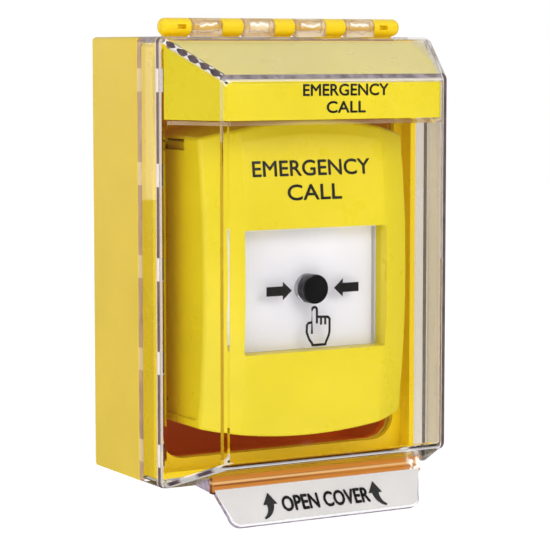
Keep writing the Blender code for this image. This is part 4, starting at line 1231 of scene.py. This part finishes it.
def curved_arrow(x, z, direction, size=11.0):
    """An arrow that curls up from one side, as lift tabs carry."""
    width = size * 0.3
    centre = Vector((x - direction * size * 0.55, z + size * 0.05))
    start, end = (-70, 0) if direction > 0 else (-110, -180)
    middle = [Vector(point) for point in arc(centre.x, centre.y, size * 0.55, start, end, 8)]
    left, right = [], []
    for i, point in enumerate(middle):
        away = (point - centre).normalized()
        half = width * (0.12 + 0.38 * i / (len(middle) - 1))
        left.append(tuple(point + away * half))
        right.append(tuple(point - away * half))
    tip = middle[-1]
    reach = direction * size * 0.3
    head = [(tip.x + reach, tip.y), (tip.x, tip.y + size * 0.46), (tip.x - reach, tip.y)]
    return flat_shape(left + head + list(reversed(right)))


def make_printing(housing, hood, black):
    front = surface_under(housing)
    printed("front_text_1", lettering("EMERGENCY", 6.6, 56.0, -1.3, 38.2), front, "enclosure", black)
    printed("front_text_2", lettering("CALL", 6.6, 26.0, -0.5, 28.3), front, "enclosure", black)
    hood_front = surface_under(hood)
    printed("hood_text_1", lettering("EMERGENCY", 4.9, 40.5, 4.5, 70.2), hood_front, "cover", black)
    printed("hood_text_2", lettering("CALL", 4.9, 18.6, 4.5, 63.3), hood_front, "cover", black)
    pane_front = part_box("operating_window")[0].y / MM

    def on_window(x, z):
        return pane_front

    low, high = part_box("push_button")
    arrow_z = (low.z + high.z) / 2 / MM - 0.2
    marks = [arrow(-10.1, arrow_z, 1), arrow(10.1, arrow_z, -1)]
    printed("window_arrows", join(marks), on_window, "button", black)
    hand = join([stroke(line, 1.05) for line in hand_lines()])
    printed("window_hand", hand, on_window, "button", black)
    make_tab_printing(black)


def make_tab_printing(black):
    label_front = -TAB_THICKNESS / 2 - 0.6

    def on_label(x, z):
        return label_front

    letters = lettering("OPEN COVER", 6.8, 42.0, 0.4, -9.5, 0.24)
    pieces = [letters, curved_arrow(-25.9, -9.6, 1), curved_arrow(24.6, -9.6, -1)]
    for name, piece in zip(("tab_text", "tab_arrow_left", "tab_arrow_right"), pieces):
        flat = printed(name, piece, on_label, "cover", black)
        flat.matrix_world = Matrix.Identity(4)
        on_tab(flat)


# ------------------------------------------------------------ small pieces


def turned_piece(name, profile, centre, material, body, replaced, sides=64):
    """A turned piece along Y. The profile is (radius, y) in millimetres, from the front."""
    bm = bmesh.new()
    rings = []
    for radius, y in profile:
        row = []
        for i in range(sides):
            angle = 2 * math.pi * i / sides
            spot = Vector((centre[0] + radius * math.cos(angle), y, centre[1] + radius * math.sin(angle)))
            row.append(bm.verts.new(spot * MM))
        rings.append(row)
    for near, far in zip(rings, rings[1:]):
        for i in range(sides):
            bm.faces.new((near[i], near[(i + 1) % sides], far[(i + 1) % sides], far[i]))
    for end in (rings[0], rings[-1]):
        bm.faces.new(end)
    obj = paint(smooth(object_from(bm, name), 40), material)
    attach(obj, body)
    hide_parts(replaced)
    return obj


def rounded_profile(radius, front, rear, rounding, steps=5):
    """A disc's profile with a rounded front edge."""
    points = []
    for step in range(steps + 1):
        turn = step / steps * math.pi / 2
        outwards = radius - rounding + rounding * math.sin(turn)
        points.append((outwards, front + rounding - rounding * math.cos(turn)))
    return [(0.01, front)] + points + [(radius, rear)]


BUTTON_INK_DEPTH = 1.9


def make_button(black, clear):
    """The black cap, clear behind its front part, on its clear post."""
    low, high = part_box("push_button")
    centre = ((low.x + high.x) / 2 / MM, (low.z + high.z) / 2 / MM)
    radius = (high.x - low.x) / 2 / MM
    ink_rear = low.y + BUTTON_INK_DEPTH * MM
    profile = rounded_profile(radius, low.y / MM, high.y / MM, 0.5)
    profile.insert(-1, (radius, ink_rear / MM))
    cap = turned_piece("button_cap", profile, centre, black, "button", "push_button")
    cap.data.materials.append(clear)
    for face in cap.data.polygons:
        if face.center.y > ink_rear:
            face.material_index = 1
    stem_low, stem_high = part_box("button_stem")
    profile = [(radius, stem_low.y / MM), (radius, stem_high.y / MM)]
    turned_piece("button_post", profile, centre, clear, "button", "button_stem")


def make_spring(steel):
    """The return spring as a real coil with closed end turns, round the plunger."""
    low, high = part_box("return_spring")
    wire = 0.45 * MM
    radius = (high.x - low.x) / 2 - wire
    centre_x = (low.x + high.x) / 2
    centre_z = (low.z + high.z) / 2
    turns, per_turn = 6.0, 24
    curve = bpy.data.curves.new("spring_coil", "CURVE")
    curve.dimensions = "3D"
    curve.bevel_depth = wire
    curve.bevel_resolution = 3
    curve.use_fill_caps = True
    spline = curve.splines.new("POLY")
    count = int(turns * per_turn)
    spline.points.add(count)
    span = high.y - low.y - 2 * wire
    for i, point in enumerate(spline.points):
        turn = i / per_turn
        share = min(1.0, max(0.0, (turn - 0.75) / (turns - 1.5)))
        angle = 2 * math.pi * turn
        point.co = (
            centre_x + radius * math.cos(angle), low.y + wire + span * share,
            centre_z + radius * math.sin(angle), 1.0,
        )
    coil = bpy.data.objects.new("spring_coil", curve)
    bpy.context.scene.collection.objects.link(coil)
    curve.materials.append(steel)
    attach(coil, "button")
    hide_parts("return_spring")


def carry_over(materials):
    """CAD nodes whose shape is already right get their material and smooth shading."""
    for node, material in materials.items():
        obj = frame["nodes"][node]
        paint(obj, material)
        obj.data.shade_smooth()
        obj.data.set_sharp_from_angle(angle=math.radians(35))


# ------------------------------------------------------------- the setting


def area_light(name, place, target, size, power):
    data = bpy.data.lights.new(name, "AREA")
    data.shape = "RECTANGLE"
    data.size, data.size_y = size
    data.energy = power
    lamp = bpy.data.objects.new(name, data)
    lamp.location = place
    lamp.visible_glossy = False
    direction = Vector(target) - Vector(place)
    lamp.rotation_euler = direction.to_track_quat("-Z", "Y").to_euler()
    bpy.context.scene.collection.objects.link(lamp)


def make_stage():
    bm = bmesh.new()
    bmesh.ops.create_grid(bm, x_segments=8, y_segments=8, size=6.0)
    floor = object_from(bm, "floor")
    floor.location = (0, 0, -0.42)
    n = material_nodes("floor")
    tone = n.blend(n.spread(n.noise(3, 3.0), 0, 1), rgb(250, 250, 250), rgb(254, 254, 254))
    pale = n.principled(Base_Color=tone, Roughness=0.9, Emission_Color=WHITE, Emission_Strength=0.55)
    # Shiny faces don't mirror the bright floor, so the clear front keeps no veil of it.
    dark = n.principled(Base_Color=rgb(20, 20, 20), Roughness=0.9)
    paint(floor, n.done(n.mixed(n.mirrored_ray(), pale, dark)))


def make_world():
    """White to look at, half as bright as a light, and with its own picture for shiny faces to mirror."""
    world = bpy.data.worlds.new("studio")
    n = Nodes(world, "ShaderNodeOutputWorld", "Generated")
    seen = n.background(WHITE, 1.0)
    lit = n.background((0.97, 0.98, 1.0, 1.0), 0.5)
    # What shiny faces mirror: a bright ceiling and backdrop, and a dark studio behind the camera.
    _, y, z = n.axes()
    ceiling = n.spread(z, 0, 1, 0.15, 0.55)
    backdrop = n.spread(y, 0, 1, 0.45, 0.8)
    level = n.math("MULTIPLY_ADD", n.math("MAXIMUM", ceiling, backdrop), 0.85, 0.05)
    mirrored = n.background(WHITE, level)
    path = n.add("ShaderNodeLightPath").outputs
    looked_at = n.math("MAXIMUM", path["Is Camera Ray"], path["Is Transmission Ray"])
    direct = n.mixed(looked_at, lit, seen)
    bpy.context.scene.world = n.done(n.mixed(n.mirrored_ray(), direct, mirrored))


def make_lights():
    area_light("key", (0.35, -1.3, 0.75), (0, -0.05, 0), (0.9, 0.7), 9.0)
    area_light("fill", (-1.3, -0.7, 0.3), (0, -0.05, 0), (0.9, 1.2), 5.6)
    # Low and to the left, where the clear front doesn't mirror it into the camera.
    area_light("low", (-0.55, -1.1, -0.4), (0, -0.05, -0.05), (0.8, 0.3), 2.6)


def main():
    bpy.context.scene.view_settings.view_transform = "Standard"
    make_camera()
    make_stage()
    make_world()
    make_lights()

    # Bright yellow and white carry a painted glow, as emission.
    bright = moulded_plastic("bright_yellow", rgb(238, 205, 14), 0.28, grain=0.06, glow=rgb(238, 196, 8))
    box_yellow = box_plastic("box_yellow", rgb(230, 198, 62))
    lemon = moulded_plastic("lemon_yellow", rgb(238, 218, 34), 0.3, grain=0.05)
    white = moulded_plastic("white_plastic", rgb(250, 250, 253), 0.42, grain=0.05, glow=rgb(146, 148, 192))
    grey = moulded_plastic("grey_plastic", rgb(86, 88, 92), 0.5)
    matt_black = moulded_plastic("matt_black", rgb(24, 24, 25), 0.5)
    gloss_black = moulded_plastic("gloss_black", rgb(10, 10, 11), 0.16, grain=0.02, coat=0.4)
    # The clear kinds carry painted refraction and painted highlights over their real glass.
    clear_kinds = [
        clear_plastic("clear_flat", rgb(252, 251, 251), marks=skirt_painted_light),
        clear_plastic("clear_corner", rgb(250, 249, 249), lift=0.97, marks=corner_painted_light),
        clear_plastic("clear_ledge", rgb(248, 246, 244), lift=0.6, marks=ledge_painted_light),
        clear_plastic("clear_ridge", rgb(248, 246, 244), lift=0.3, marks=ridge_painted_light),
        clear_plastic("clear_gusset", rgb(248, 246, 248), lift=0.4, marks=gusset_painted_light),
        clear_plastic("clear_knuckle", rgb(248, 246, 244), lift=0.4, marks=knuckle_painted_light),
    ]
    clear_stem = clear_plastic("clear_acrylic", rgb(250, 250, 252))
    clear_pane = clear_plastic("clear_pane", rgb(254, 254, 254), index=1.03, lift=0.9)
    steel = brushed_steel("zinc_steel")
    black_ink = ink("black_ink")

    refine("back_box", "box_shell", box_yellow, 0.3)
    refine("call_point_base", "point_base", lemon, 0.3)
    refine("operating_window", "window_clear", clear_pane, 0.25)
    refine("white_plate", "element_plate", white, 0.25)
    refine("chassis_plate", "chassis", grey, 0.25)
    refine("terminal_block", "terminals", grey, 0.2)
    make_tab_sheet(vinyl_label("label_white"))
    make_plate_face(white)
    refine("conduit_plug", "plug", box_yellow, 0.2)
    make_clear_cover(clear_kinds)
    make_frame(bright)
    hood = make_hood(lemon)
    housing = make_housing(lemon)
    make_button(gloss_black, clear_stem)
    make_spring(steel)
    make_printing(housing, hood, black_ink)

    materials = {
        "box_gasket": foam_rubber("foam"),
        "circuit_board": circuit_green("circuit_green"),
        "left_micro_switch": matt_black,
        "right_micro_switch": matt_black,
        "plunger": white,
        "indicator_flag": striped_flag("flag_stripes"),
        "reset_slider": moulded_plastic("amber_plastic", rgb(206, 134, 40), 0.45),
        "left_switch_lever": steel,
        "right_switch_lever": steel,
        "trip_lever": steel,
    }
    for node in frame["nodes"]:
        if "screw" in node or node == "trip_pin":
            materials[node] = steel
    materials["hinge_pin"] = bright
    carry_over(materials)


main()
